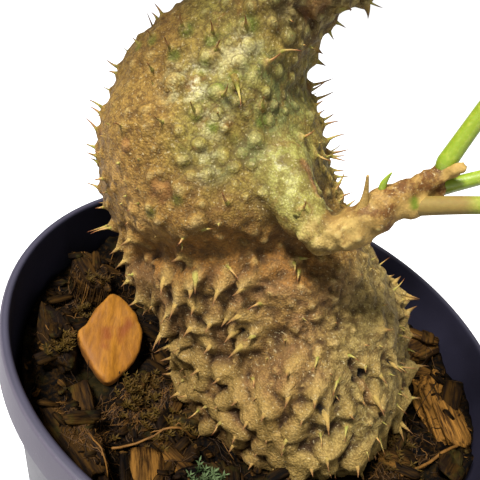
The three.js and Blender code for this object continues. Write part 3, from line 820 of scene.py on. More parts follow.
for index, place in enumerate(rule_roots):
    spot, normal, _, _ = skin_tree.find_nearest(Vector(place))
    root, out = np.array(spot), np.array(normal)
    row, distance = along_shoot([root])
    low = lowness(root)
    if root[2] < SOIL or distance[0] < 7.5 or not growth.clear_of(root, 4.4 - 0.8 * low):
        continue
    chance = draw(index, 3)
    in_view = float(out @ unit(CAMERA_AT - root)) > -0.2
    sway = np.array([0.3 * (draw(index, 5) - 0.5), 0, 0.25 - 0.75 * low + 0.3 * (draw(index, 6) - 0.5)])
    aim = unit(out + sway)
    if in_view and low < 0.4:
        growth.add(root, root + aim * (1.0 + chance), out, 0.5, 1.4 + 1.0 * draw(index, 8), 0.75, WART)
    elif low > 0.4 and chance > 0.2 + 0.8 * smooth_right(root):
        growth.add(root, root + aim * (3.2 + 1.8 * chance), out, *RULE_CONE, CONE)
    else:
        growth.add(root, root + aim * (3.0 + 2.0 * chance), out, *RULE_THIN, THIN)

print("seen or by the rule:", len(growth.rows))

# %% [markdown]
# The gaps between those are filled at random, mostly with warts. The seed is fixed, so the plant is the
# same each time.

# %% Warts and small cones in the gaps
scatter = np.random.default_rng(7)
for index in scatter.choice(len(points), SCATTERED, replace=False):
    root = points[index]
    if root[2] < SOIL or shoot_distance[index] < 6.5:
        continue
    low = lowness(root)
    flank = float(1 - smoothstep(-40, -32, root[0]))
    craggy = low * float(smoothstep(9, 17, np.linalg.norm(root - SMOOTH_FRONT)))
    craggy = craggy * (1 - 0.85 * smooth_right(root))
    if not growth.clear_of(root, 2.5 + 0.6 * flank + 0.9 * craggy):
        continue
    out = normals[index]
    if scatter.uniform() < craggy:
        left = float(smoothstep(4, -12, root[0]))
        droop = unit(out + [scatter.uniform(-0.3, 0.3) - 0.3 * left, 0, -0.55 - 0.4 * left])
        length = scatter.uniform(2.0, 3.6) + 1.0 * left
        growth.add(root, root + droop * length, out, 0.7, 2.3 - 0.3 * left, 0.62 + 0.14 * low, CONE)
        continue
    size = (0.55 + 0.95 * scatter.uniform() ** 1.6) * (1 - 0.25 * flank)
    tip = root + unit(out + [0, 0, 0.2 - 0.5 * low]) * scatter.uniform(0.5, 2.0)
    growth.add(root, tip, out, 0.36 * size, 1.45 * size, 0.35 + 0.5 * draw(index, 31), WART)
kinds = np.array([row[6] for row in growth.rows])
print("thin", (kinds == THIN).sum(), "cones", (kinds == CONE).sum(), "warts", (kinds == WART).sum())

# %% [markdown]
# ## Mounds, rings, pits and scars
#
# The skin rises round each root. A cone's mound is drawn out towards its tip and runs back up the slope
# behind it, which makes the buttresses of the lower lobe. Where two mounds meet, the higher one wins, so the
# valleys between them stay sharp. Old stubs fall and leave raised rings, ant doors are pits painted
# near-black as the shade inside them, cracks run along the hollows, and a few scrapes show the orange flesh.
# Algae, damp and papery skin lie in patches where the picture has them, and shade is painted in the hollows
# by the ridge of the side shoot. Each mark leaves a number at the points, which the finish reads.

# %% Places of the marks
RINGS = [  # middle x and y in the picture, radius in mm
    (303, 329, 2.0), (333, 289, 2.1), (310, 284, 2.2), (291, 304, 1.2), (281, 292, 1.3), (344, 267, 1.4),
    (367, 269, 1.5),
]
CREVICES = [
    [(316, 182), (321, 192), (327, 203), (334, 213)],
    [(296, 5), (302, 10), (308, 17), (313, 26)],
    [(236, 83), (238, 94), (240, 106)],
    [(350, 360), (356, 376), (363, 392), (371, 405), (382, 414)],
]
CREVICE_WIDTH = 0.6
PITS = [  # middle x and y in the picture, radius in mm
    (245, 328, 0.8), (362, 371, 1.0), (355, 378, 0.8), (393, 346, 0.7), (322, 404, 0.8), (336, 398, 0.6),
    (387, 358, 0.5), (154, 257, 0.7), (153, 270, 0.6),
]
SCARS = [(126, 146, 1.3), (159, 192, 2.0), (315, 7, 2.4), (101, 133, 0.9)]
PAPERY_STRIPS = [
    [(304, 162), (309, 171), (314, 184), (319, 194)],
    [(360, 378), (367, 392), (375, 404), (384, 412)],
]
PATCHES = {  # middle x and y in the picture and radius in mm, for each kind of patch
    "wet": [
        (198, 80, 6), (247, 43, 4), (240, 105, 4), (205, 160, 3), (208, 175, 3), (222, 133, 3),
        (300, 200, 4),
    ],
    "algae": [
        (284, 104, 9), (276, 122, 7), (292, 132, 5), (262, 70, 5), (215, 95, 4), (215, 170, 4),
        (255, 150, 4),
    ],
    "feet": [
        (187, 30, 1.8), (249, 24, 2.2), (174, 56, 1.6), (212, 41, 1.8), (235, 77, 1.6), (197, 115, 1.5),
        (212, 127, 1.7), (152, 40, 1.4), (139, 47, 1.2), (262, 122, 1.6), (220, 88, 1.4), (204, 67, 1.6),
        (150, 212, 1.6), (178, 200, 1.5), (244, 240, 1.4), (283, 150, 1.4),
    ],
    "dull": [(200, 205, 7), (220, 208, 7), (240, 213, 6), (188, 190, 5)],
    "warm": [(125, 198, 8), (135, 220, 8), (118, 178, 6), (150, 232, 6)],
    "elbow": [(316, 232, 4), (330, 240, 4), (343, 236, 4), (352, 224, 3), (364, 204, 2), (365, 212, 2)],
    "leaf_scar": [(414, 201, 1.0), (415, 206, 1.0)],
    # hollows by the ridge of the side shoot, where shade is painted
    "hollow_shade": [
        (304, 168, 2.2), (313, 182, 2.4), (322, 190, 3), (328, 202, 3), (334, 212, 2.6), (285, 160, 1.6),
        (266, 207, 2),
    ],
    "bloom": [(188, 84, 6), (247, 43, 4), (214, 122, 4), (228, 60, 4), (205, 165, 4), (285, 190, 3)],
}
print("rings, pits and cracks seen:", len(RINGS), len(PITS), len(CREVICES))

# %% [markdown]
# Every spine stands on a mound of skin, and a large cone leans on a buttress below it. A wart is a low
# dome with an uneven edge.

# %% Mounds under the spines
BUTTRESS = 2.5
WART_SPREAD = 1.5

vertex_tree = KDTree(len(points))
for index, point in enumerate(points):
    vertex_tree.insert(point, index)
vertex_tree.balance()


def near(spot, radius):
    """Numbers of the points within a radius of a spot, and their distances as shares of it."""
    found = vertex_tree.find_range(Vector(spot), radius)
    return np.array([hit[1] for hit in found], int), np.array([hit[2] for hit in found]) / radius


moved = np.zeros_like(points)
raised = np.zeros(len(points))
mound_mark = np.zeros(len(points))
uneven = 1 + 0.36 * bumps(points, 1.4, 15)
domed = smoothstep(117, 106, points[:, 2])
wart_mark = np.zeros(len(points))
for root, tip, normal, foot, mound, height, kind in growth.rows:
    stretch = {CONE: BUTTRESS, WART: WART_SPREAD, THIN: 1}[kind]
    index, _ = near(root, mound * stretch)
    pull = normal * mound * 0.62 if kind == WART else tip - root
    away = points[index] - root
    slope = unit(pull - (pull @ normal) * normal) if kind == CONE else np.zeros(3)
    ahead = away @ slope
    aside = np.linalg.norm(away - ahead[:, None] * slope, axis=1)
    share = np.hypot(np.where(ahead < 0, ahead / stretch, ahead), aside) / mound
    share = share * uneven[index] if kind == WART else share
    share = np.minimum(share, 1)
    if kind == WART:
        shape = (1 - share**2) ** 2
    else:
        dome = 0.8 * np.sqrt(1 - share**2) + 0.2 * (1 - share) ** 2
        shape = (1 - share) ** 1.5 + (kind == CONE) * domed[index] * (dome - (1 - share) ** 1.5)
    mark = wart_mark if kind == WART else mound_mark
    mark[index] = np.maximum(mark[index], shape)
    lift = shape * height * np.linalg.norm(pull)
    higher = lift > raised[index]
    raised[index[higher]] = lift[higher]
    moved[index[higher]] = (shape * height)[higher, None] * pull

print("highest mound in mm:", round(float(raised.max()), 1))

# %% [markdown]
# The finer marks are pressed in last, on top of the mounds, and the patches only leave their numbers.

# %% Rings, pits, scrapes and cracks
pit_mark = np.zeros(len(points))
ring_mark = np.zeros(len(points))
scar_mark = np.zeros(len(points))
for x, y, radius in RINGS:
    spot, normal = on_surface(x, y)
    index, share = near(spot, 1.5 * radius)
    ripple = np.cos(2 * np.pi * share * 1.5 / 0.72) * (1 - smoothstep(0.6, 1, share))
    moved[index] += (radius * (0.11 * ripple + 0.2 * (1 - share**2)))[:, None] * normal
    ring_mark[index] = np.maximum(ring_mark[index], 0.6 * np.maximum(-ripple, 0))
for x, y, radius in PITS:
    spot, normal = on_surface(x, y)
    index, share = near(spot, 1.6 * radius)
    hole = 1 - smoothstep(0.35, 0.9, share)
    pit_mark[index] = np.maximum(pit_mark[index], hole)
    moved[index] -= (1.5 * radius * hole)[:, None] * normal
for x, y, radius in SCARS:
    spot, normal = on_surface(x, y)
    index, share = near(spot, 1.3 * radius)
    ragged = share + 0.35 * bumps(points[index], 1.1, 12)
    scar_mark[index] = np.maximum(scar_mark[index], 1 - smoothstep(0.5, 0.9, ragged))
for spots in CREVICES:
    share = line_through([on_surface(x, y)[0] for x, y in spots], points) / CREVICE_WIDTH
    cleft = 1 - smoothstep(0.3, 1.4, share + 0.4 * bumps(points, 1.5, 17))
    moved -= (0.9 * cleft)[:, None] * normals
    ring_mark = np.maximum(ring_mark, cleft)
patch_marks = {"papery": np.zeros(len(points))}
for spots in PAPERY_STRIPS:
    share = line_through([on_surface(x, y)[0] for x, y in spots], points) + 0.6 * bumps(points, 1.6, 13)
    patch_marks["papery"] = np.maximum(patch_marks["papery"], 1 - smoothstep(0.5, 1.0, share))
for label, rows in PATCHES.items():
    patch_marks[label] = np.zeros(len(points))
    for x, y, radius in rows:
        share = np.linalg.norm(points - on_surface(x, y)[0], axis=1) / radius
        patch_marks[label] = np.maximum(patch_marks[label], 1 - smoothstep(0.25, 1.1, share))

skin = points + moved
skin = soften(skin, edges, 1, 0.3)
skin_normals = normals_of(skin, faces)
broad = soften(skin, edges, 10)
rise_mark = np.einsum("ij,ij->i", skin - broad, skin_normals)
print("skin moved by up to", round(float(np.linalg.norm(moved, axis=1).max()), 1), "mm")

# %% [markdown]
# ## Shelter
#
# Shade falls where a surface is sheltered by itself: in the fold between the lobes, and in the valleys
# between the cones, and it is painted into the colour there. `shelter` looks out from a third of the points
# in sixteen directions, and counts how many of them meet the skin again nearby. The points between take the
# mean of their neighbours.


# %% Shelter
def shelter(at, outward, reach, rays=16, every=3):
    """Share of the directions out of each point that the skin itself blocks within a reach."""
    tree = BVHTree.FromPolygons(at.tolist(), faces)
    turn_step = np.pi * (3 - math.sqrt(5))
    height = (np.arange(rays) + 0.5) / rays
    around = np.arange(rays) * turn_step
    flat = np.sqrt(1 - height**2)
    dome = np.stack([flat * np.cos(around), flat * np.sin(around), height], 1)
    known = np.zeros((len(at), 2))
    for index in range(0, len(at), every):
        out = outward[index]
        side = unit(np.cross(out, [0.3, 0.5, 0.8]))
        directions = dome @ np.array([side, np.cross(out, side), out])
        start = Vector(at[index] + 0.4 * out)
        blocked = sum(tree.ray_cast(start, Vector(way), reach)[0] is not None for way in directions)
        known[index] = blocked / rays, 1
    spread = soften(known, edges, 3)
    return spread[:, 0] / np.maximum(spread[:, 1], 1e-6)


SHELTER_REACH = 14
shelter_mark = shelter(skin, skin_normals, SHELTER_REACH)
print("shelter: mean", round(float(shelter_mark.mean()), 2), "most", round(float(shelter_mark.max()), 2))

# %% [markdown]
# ## Spikes
#
# All the spikes are one mesh. Each is a slim curved cone whose foot flares into its mound. The share of the
# way to the tip is kept at every point, so that one finish can run from skin at the foot, through green, to
# a red-brown tip, and each spike has a draw of its own that says how green it is.

# %% Spikes
SPIKE_RINGS = 7
SPIKE_SIDES = 6
FLARE_STEPS = 18
FLARE_SIDES = 10


def spikes(rows):
    """One mesh of all the spikes, the share of the way to the tip, and the spike that each point is on."""
    roots, tips = (np.array([row[k] for row in rows]) for k in (0, 1))
    feet = np.array([row[3] for row in rows])[:, None]
    stout = np.array([row[6] == CONE for row in rows])[:, None]
    along = tips - roots
    share = np.linspace(-0.22, 1, SPIKE_RINGS)
    steady = np.where(np.abs(unit(along)[:, 2:]) < 0.8, [[0, 0, 1.0]], [[1.0, 0, 0]])
    across = unit(np.cross(along, steady))
    other = unit(np.cross(along, across))
    draws = np.random.default_rng(11).uniform(-1, 1, (len(rows), 2))
    arch = 4 * share * (1 - share)
    bow = 0.08 * (across * draws[:, :1] + other * draws[:, 1:]) * np.linalg.norm(along, axis=1)[:, None]
    line = roots[:, None] + along[:, None] * share[None, :, None] + bow[:, None] * arch[None, :, None]
    left = 1 - np.clip(share, 0, 1)
    slim = (0.45 + 0.75 * np.exp(-5 * (1 - left))) * left**0.65
    cone = 1.15 * left**1.15
    radius = feet * (np.where(stout, cone, slim) + 0.03)
    angle = np.linspace(0, 2 * np.pi, SPIKE_SIDES, endpoint=False)
    ring = across[:, None] * np.cos(angle)[None, :, None] + other[:, None] * np.sin(angle)[None, :, None]
    rings = line[:, :, None] + ring[:, None] * radius[:, :, None, None]
    owner = np.repeat(np.arange(len(rows)), SPIKE_RINGS * SPIKE_SIDES)
    return merge([loft(one) for one in rings]), np.repeat(np.tile(1 - left, len(rows)), SPIKE_SIDES), owner


def flared(rows, flat=1.0):
    """A tapering tube whose foot spreads a little, flattened sideways for a leaf bud."""
    line = between(rows, np.linspace(0, len(rows) - 1, FLARE_STEPS))
    radii = line[:, 3] * (1 + 0.3 * np.exp(-np.linspace(0, 9, FLARE_STEPS)))
    made, made_faces = tube(line[:, :3], radii, FLARE_SIDES)
    middle = np.repeat(line[:, :3], FLARE_SIDES, axis=0)
    return middle + (made - middle) * [1, flat, 1], made_faces


spike_rows = [row for k, row in enumerate(growth.rows) if row[6] != WART or draw(k, 13) > 0.6]
(spike_points, spike_faces), tip_mark, owner = spikes(spike_rows)
own_mark = np.array([draw(k, 21) for k in range(len(spike_rows))])[owner]
cone_mark = np.array([float(row[6] == CONE) for row in spike_rows])[owner]
spike_out = np.array([row[2] for row in spike_rows])[owner]
print("spikes:", len(spike_rows))

# %% [markdown]
# ## Zones of colour
#
# The upper lobe is olive where light reaches it and tan on its left flank. The lower lobe is a greyer tan.
# The ridge of the side shoot is pale green, the shoot beyond the elbow is papery brown, and its thorn, its
# broken stub and the collars of its leaves are cream. Shade is painted in three zones: under the overhang, in
# the fold and between the cones low on the left. Each zone is a number from 0 to 1 worked out from where a
# point lies.


# %% Zones
def close_to(at, line, radius):
    """1 near a short line of points, falling to 0 at a radius."""
    rows = between(line, np.linspace(0, len(line) - 1, 12))[:, :3]
    distance = np.linalg.norm(at[:, None] - rows[None], axis=2).min(1)
    return 1 - smoothstep(0.6 * radius, radius, distance)


def zones(at, out):
    """Zone numbers for points of the skin or the spikes."""
    low = below_fold(at)
    row, distance = along_shoot(at)
    close = 1 - smoothstep(4.2, 6.8, distance)
    shoot = close * smoothstep(3.0, 4.2, row)
    ridge = close * (1 - smoothstep(3.0, 4.2, row)) * smoothstep(-0.3, 0.4, out[:, 2] - 0.6 * out[:, 0])
    right = smoothstep(-31, -23, at[:, 0] + 0.25 * (at[:, 2] - 150))
    olive = (1 - low) * (0.15 + 0.85 * right) * smoothstep(138, 152, at[:, 2])
    high = on_neck(at)
    # faces that look down under the overhang, where shade is painted
    under = (1 - smoothstep(-0.6, -0.1, out[:, 2])) * smoothstep(100, 112, at[:, 2])
    under = under * (1 - close) * (1 - high)
    cream = np.maximum(close_to(at, LEAF_BASES[0][:, :3], 2.6), close_to(at, BROKEN_STUB[1:, :3], 1.8))
    cream = np.maximum(cream, 0.7 * close_to(at, UNDERSIDE[:2, :3], 4.0))
    return {
        "low": low,
        "shoot": shoot,
        "ridge": ridge,
        "olive": olive,
        "under": under,
        "high": high,
        "grey": low * smoothstep(2, 16, at[:, 0]),
        "craggy": low * smoothstep(8, -10, at[:, 0]) * smoothstep(126, 118, at[:, 2]),
        "fold": 1 - smoothstep(2.5, 7.5, line_through(FOLD, at)),
        "cream": cream,
    }


skin_zones = zones(skin, skin_normals)
spike_zones = zones(spike_points, spike_out)
print("mean olive", round(float(skin_zones["olive"].mean()), 2))

# %% [markdown]
# ## The finish of the caudex
#
# Close up the skin is corky: packed pale grains over brown, with pale warts; its valleys carry painted shade
# and its crests a painted highlight. A Voronoi texture gives the imported grains, and its distances are used
# twice, for the dark seams between the grains and for their bump. The skin is living tissue, so its sheen is
# soft and in places wet. One finish paints the skin and the spikes, because the foot of a spike is skin: it
# reads the zone numbers and marks of both.

# %% Finish of the caudex
skin_finish = Finish("caudex_skin", {"Specular IOR Level": 0.16, "Coat Roughness": 0.3})
layer, marked = skin_finish.blend, skin_finish.field
GRAIN_SIZE = 0.42
grain_inputs = {"Vector": skin_finish.place, "Scale": 1 / (GRAIN_SIZE * MM)}
grains = skin_finish.node("TexVoronoi", {"feature": "F1"}, grain_inputs, output="Distance")
grain = skin_finish.noise(0.5, 3, 0.65)
sand = skin_finish.noise(1.3, 5, 0.75)
mottle = skin_finish.noise(2.4, 4, 0.65)
dirt = skin_finish.noise(4.6, 4, 0.65)
patch = skin_finish.noise(9, 3)
sandy = sand.ramp(0.36, 0.64)
mottled = mottle.ramp(0.4, 0.6)
height = marked("rise")
olive = marked("olive")
low = marked("low")
valley = 1 - height.ramp(-0.32, 0.06)
crest_painted_highlight = height.ramp(0.1, 0.7)
wart = marked("wart")
# how strongly the sheltered places take painted shade
painted_shelter_shade = marked("shelter").ramp(0.12, 0.6)

print("grounds of the skin:", len(skin_finish.material.node_tree.nodes), "nodes")

# %% [markdown]
# The colour is built up as paint would be, from the ground to the smallest mark: tan and green first, then
# patches, then painted shade in the sheltered places, under the overhang, in the fold and in the valleys,
# then a painted highlight on the crests, and pits last, painted near-black as the shade inside them.

# %% Colour of the skin
tan = layer(sandy, screen(96, 66, 25), screen(144, 109, 48))
low_tan = layer(sandy, screen(88, 61, 27), screen(142, 109, 56))
low_tan = layer(patch.ramp(0.45, 0.6) * 0.5, low_tan, screen(146, 106, 66))
grey_tan = layer(sandy, screen(92, 76, 34), screen(148, 132, 76))
low_tan = layer(marked("grey") * 0.7, low_tan, grey_tan)
tan = layer(low, tan, low_tan)
green = layer(sandy, screen(92, 79, 29), screen(146, 132, 60))
green = layer(dirt.ramp(0.5, 0.62) * 0.55, green, screen(92, 97, 36))
green = layer(1 - dirt.ramp(0.34, 0.46), green, screen(114, 83, 34))
colour = layer(olive * (0.6 + 0.4 * patch.ramp(0.35, 0.6)), tan, green)
algae = marked("algae") * (0.35 + 0.65 * mottled)
colour = layer(algae * 0.8, colour, screen(92, 102, 58))
colour = layer(marked("feet") * 0.8, colour, screen(80, 94, 24))
bloom = marked("bloom") * mottle.ramp(0.42, 0.6)
colour = layer(bloom * 0.7, colour, screen(182, 172, 118))
crumbly_neck = layer(mottle.ramp(0.42, 0.58), screen(74, 52, 24), screen(156, 136, 84))
colour = layer(marked("high") * 0.8, colour, crumbly_neck)
pale_ridge = layer(mottle.ramp(0.38, 0.62), screen(104, 96, 42), screen(148, 144, 74))
pale_ridge = layer(dirt.ramp(0.54, 0.64) * 0.7, pale_ridge, screen(112, 82, 38))
colour = layer(marked("ridge") * 0.8, colour, pale_ridge)
papery = layer(mottle.ramp(0.4, 0.58), screen(92, 58, 22), screen(140, 108, 54))
papery = layer(dirt.ramp(0.5, 0.6) * 0.75, papery, screen(90, 54, 26))
colour = layer(marked("shoot"), colour, papery)
colour = layer(marked("dull") * (0.2 + 0.4 * mottled), colour, screen(96, 66, 28))
# painted shade in the hollows by the ridge of the side shoot
hollow_shade = marked("hollow_shade") * (0.3 + 0.7 * mottle.ramp(0.38, 0.55))
colour = layer(hollow_shade * 0.85, colour, screen(82, 62, 28))
strip_colour = layer(mottled, screen(84, 48, 22), screen(140, 98, 60))
colour = layer(marked("papery") * 0.7, colour, strip_colour)
# painted shade where the skin shelters itself
colour = layer(painted_shelter_shade * 0.85, colour, screen(54, 35, 15))
# painted shade on the faces that look down under the overhang
colour = layer(marked("under") * 0.25, colour, screen(70, 48, 22))
# painted shade in the fold under the upper lobe
fold_painted_shade = layer(mottle.ramp(0.36, 0.62), screen(70, 44, 12), screen(138, 92, 34))
colour = layer(marked("fold") * (0.5 + 0.4 * dirt.ramp(0.35, 0.6)), colour, fold_painted_shade)
# painted shade between the cones low on the left
colour = layer(marked("craggy") * 0.6, colour, screen(70, 48, 20))
# painted shade in the valleys of the relief, less in the fold, which has its own
valley_painted_shade = valley * (0.7 + 0.25 * low) * (1 - 0.7 * marked("fold"))
colour = layer(valley_painted_shade, colour, screen(46, 29, 12))
colour = layer(marked("ring") * 0.6, colour, screen(60, 40, 18))
# a dark ring round each wart: partly brown stain, partly painted shadow at its foot
wart_rim_shade_and_stain = wart.ramp(0.0, 0.12) * (1 - wart.ramp(0.12, 0.4))
colour = layer(wart_rim_shade_and_stain * (0.24 + 0.32 * olive), colour, screen(66, 54, 22))
wart_top = layer(olive, screen(154, 126, 70), screen(158, 150, 88))
colour = layer(wart.ramp(0.45, 0.95) * (0.25 + 0.5 * sand.ramp(0.4, 0.6)), colour, wart_top)
colour = layer(marked("mound").ramp(0.15, 0.7) * 0.55, colour, screen(154, 126, 66))
# a painted highlight on the crests of the relief
colour = layer(crest_painted_highlight * 0.4, colour, screen(184, 162, 108))
colour = layer(grains.ramp(0.4, 0.7) * 0.32, colour, screen(62, 42, 18))
# the pale grains fade in the painted shade of the fold
light_grain = grain.ramp(0.58, 0.72) * (1 - 0.55 * marked("fold")) * 0.4
colour = layer(light_grain, colour, screen(206, 190, 146))
scar_colour = layer(mottle.ramp(0.35, 0.6), screen(84, 52, 24), screen(138, 94, 48))
colour = layer(marked("scar") * 0.6, colour, scar_colour)
colour = layer(marked("cream") * 0.8, colour, screen(162, 132, 70))
warm = layer(sandy, screen(124, 88, 40), screen(186, 146, 80))
colour = layer(marked("warm") * 0.5, colour, warm)
colour = layer(marked("leaf_scar"), colour, screen(84, 96, 18))
colour = layer(marked("elbow") * (0.1 + 0.5 * mottled), colour, screen(168, 142, 80))
# pits painted near-black as the shade inside them
colour = layer(marked("pit"), colour, screen(12, 7, 3))

print("colour of the skin:", len(skin_finish.material.node_tree.nodes), "nodes")

# %% [markdown]
# A spike starts in the colour of the skin, turns pale along its shaft and ends in a darker tip. The large
# cones stay nearer to the skin than the thin spines.

# %% Colour of the spikes
tip = marked("tip")
own = marked("own")
shaft = layer(own, screen(166, 122, 74), screen(160, 150, 78))
shaft = layer(tip.ramp(0.1, 0.5), screen(120, 122, 44), shaft)
shaft = layer(tip.ramp(0.5, 0.95), shaft, screen(112, 62, 34))
cone = layer(own.ramp(0.75, 0.85) * 0.6, screen(154, 126, 66), screen(140, 140, 66))
cone = layer(tip.ramp(0.4, 0.95), cone, screen(112, 76, 44))
shaft = layer(marked("cone"), shaft, cone)
colour = layer(tip.ramp(0.02, 0.3), colour, shaft)

print("with the spikes:", len(skin_finish.material.node_tree.nodes), "nodes")

# %% [markdown]
# The grains and the sand also tilt the surface, and a damp patch is smoother than a dry one.

# %% Relief and sheen of the skin
fine = (0.25 * (1 - grains) + 0.75 * sand) * (1 - 0.55 * marked("shoot")) * (1 - 0.45 * olive)
wet = marked("wet") + olive * patch.ramp(0.5, 0.65) * 0.4 + marked("ridge") * 0.6
wet = wet * mottle.ramp(0.42, 0.58)
rough = 0.66 - 0.4 * wet.ramp(0.0, 1.0) + 0.2 * (grain - 0.5)
caudex_material = skin_finish.paint(
    Base_Color=colour,
    Roughness=rough,
    Normal=skin_finish.bump(fine, 0.66),
    Coat_Weight=wet * grain.ramp(0.45, 0.65) * 0.16,
)

add_piece(
    "caudex_skin", skin, faces, caudex_material, "caudex_skin", ["caudex"],
    {
        "rise": rise_mark,
        "shelter": shelter_mark,
        "mound": mound_mark,
        "wart": wart_mark,
        "pit": pit_mark,
        "ring": ring_mark,
        "scar": scar_mark,
        **patch_marks,
        **skin_zones,
    },
)
add_piece(
    "caudex_spikes", spike_points, spike_faces, caudex_material, "caudex_skin", (),
    {"tip": tip_mark, "own": own_mark, "cone": cone_mark, **spike_zones},
)
THORN_SHIFT = [0.25, 0.35, 0, 0]
thorn_points, thorn_faces = flared(THORN + THORN_SHIFT)
thorn_marks = {"cream": np.ones(len(thorn_points)), "shoot": np.ones(len(thorn_points))}
add_piece("shoot_thorn", thorn_points, thorn_faces, caudex_material, "caudex_skin", (), thorn_marks)

# %% [markdown]
# ## Roots
#
# A few main roots run down into the mix. Nobody sees them in the pot, but the plant has them when it is
# lifted, so they are plain tapering tubes in the finish of the caudex.

# %% Roots
ROOTS = [(20, 20, 58, 2.6), (95, 16, 44, 2.1), (165, 22, 50, 2.3), (240, 15, 62, 2.7), (310, 19, 40, 2)]


def root_tube(turned, reach, depth, radius):
    t = np.array([0, 0.3, 0.65, 1])
    spread = 8 + reach * np.sin(t * np.pi / 2)
    heading = math.radians(turned)
    place = [8 + math.cos(heading) * spread, -7 + math.sin(heading) * spread, 88 - depth * t]
    return limb(np.stack([*place, radius * (1 - 0.7 * t)], 1), 24, 10)


add_piece("caudex_roots", *merge([root_tube(*row) for row in ROOTS]), caudex_material, "caudex_skin")

# %% [markdown]
# ## The pot
#
# A nursery pot is blow-moulded: thin everywhere, with a collar folded out at the top and a lip rolled over
# on it. Turning its section round the axis gives the whole form, as on a lathe. The corners of the section
# are small arcs, because it is their soft highlights that say plastic. The drainage holes are cut by a
# Boolean.

# %% Pot
POT_HEIGHT = 105
RIM_RADIUS = 60
LIP_WIDTH = 1.9
COLLAR_HEIGHT = 7.3
COLLAR_SKIRT_RADIUS = 60.4
WALL_TOP_RADIUS = 57.9
POT_BASE_RADIUS = 46
WALL = 1.2
POT_FLOOR = 1.6
INSIDE_SLOPE = 7
POT_SIDES = 192
DRAIN_HOLES = 8
DRAIN_RADIUS = 3.5
DRAIN_CIRCLE_RADIUS = 35


def rounded(corners, radii, steps=5):
    """A line through corners (radius, height), each corner cut to a small arc."""
    line = [corners[0]]
    for before, corner, after, radius in zip(corners, corners[1:], corners[2:], radii):
        back, ahead = unit(np.subtract(before, corner)), unit(np.subtract(after, corner))
        start, end = corner + radius * back, corner + radius * ahead
        for t in np.linspace(0, 1, steps):
            line.append((1 - t) ** 2 * start + 2 * t * (1 - t) * np.array(corner) + t**2 * end)
    return np.array([*line, corners[-1]])


skirt = POT_HEIGHT - COLLAR_HEIGHT
lip_inner = RIM_RADIUS - LIP_WIDTH
section = rounded(
    [
        (0, 0),
        (POT_BASE_RADIUS, 0),
        (WALL_TOP_RADIUS, skirt),
        (COLLAR_SKIRT_RADIUS, skirt),
        (RIM_RADIUS, POT_HEIGHT),
        (lip_inner, POT_HEIGHT),
        (lip_inner - 0.25, skirt + 0.6),
        (WALL_TOP_RADIUS - WALL, skirt - INSIDE_SLOPE),
        (POT_BASE_RADIUS - WALL, POT_FLOOR),
        (0, POT_FLOOR),
    ],
    [1.0, 0.4, 0.35, 0.9, 0.85, 3.0, 3.0, 0.8],
)
turn_angles = np.linspace(0, 2 * np.pi, POT_SIDES, endpoint=False)
section = section[1:-1]
pot_rings = np.stack(
    [
        section[:, :1] * np.cos(turn_angles),
        section[:, :1] * np.sin(turn_angles),
        np.repeat(section[:, 1:], POT_SIDES, axis=1),
    ],
    -1,
)
pot_points, pot_faces = loft(pot_rings)
print("pot section has", len(section), "points")

# %% [markdown]
# The plastic is a blue-black with a satin face, dusted with pale specks. The outside of the collar is painted
# a lighter grey-violet, a painted reflection of the light its satin face catches, and a painted highlight
# runs in a thin line along its top edge, while the wall below the collar is painted almost black as shade and
# the inside stays almost black. The way a face looks from the axis tells outside from inside.

# %% Finish of the pot
plastic = Finish("pot_plastic", {"Specular IOR Level": 0.16})
cloud = plastic.noise(9, 3)
dust = plastic.noise(0.7, 2, 0.7)
outer = plastic.field("outer")
base = plastic.blend(cloud, screen(28, 26, 36), screen(40, 38, 52))
# the collar's outside is painted lighter as the reflection its satin face catches, and the wall below it is
# painted near-black as shade
collar_light_wall_shade = plastic.blend(plastic.field("collar"), screen(24, 20, 23), screen(77, 72, 82))
base = plastic.blend(outer * (0.92 + 0.08 * dust.ramp(0.3, 0.7)), base, collar_light_wall_shade)
# a painted highlight along the top edge of the rim
base = plastic.blend(plastic.field("rim_highlight") * 0.3, base, screen(96, 92, 106))
base = plastic.blend(dust.ramp(0.7, 0.76) * (0.08 + 0.25 * outer), base, screen(130, 126, 132))
pot_material = plastic.paint(
    Base_Color=base,
    Roughness=0.44 + 0.12 * cloud + 0.1 * dust,
    Normal=plastic.bump(dust, 0.05, 0.6),
)

cutters = []
for k in range(DRAIN_HOLES):
    at = (k + 0.5) / DRAIN_HOLES * 2 * math.pi
    x, y = DRAIN_CIRCLE_RADIUS * math.cos(at), DRAIN_CIRCLE_RADIUS * math.sin(at)
    bore = np.array([[x, y, -POT_FLOOR], [x, y, 0.5], [x, y, 3 * POT_FLOOR]])
    cutters.append(tube(bore, [DRAIN_RADIUS] * 3, 32))
cutter = bpy.data.objects.new("cutter", mesh_of("cutter", *merge(cutters)))
blank = bpy.data.objects.new("blank", mesh_of("blank", pot_points, pot_faces))
for one in (cutter, blank):
    bpy.context.scene.collection.objects.link(one)
cut = blank.modifiers.new("holes", "BOOLEAN")
cut.operation = "DIFFERENCE"
cut.object = cutter
pierced = bpy.data.meshes.new_from_object(blank.evaluated_get(bpy.context.evaluated_depsgraph_get()))
pot_points, pot_faces, _, pot_normals = arrays_of(pierced)
for one in (cutter, blank):
    bpy.data.objects.remove(one)
from_axis = np.linalg.norm(pot_points[:, :2], axis=1)
facing = np.einsum("ij,ij->i", pot_normals[:, :2], pot_points[:, :2]) / np.maximum(from_axis, 1)
outer_mark = smoothstep(0.3, 0.7, facing) * smoothstep(1, 3, pot_points[:, 2])
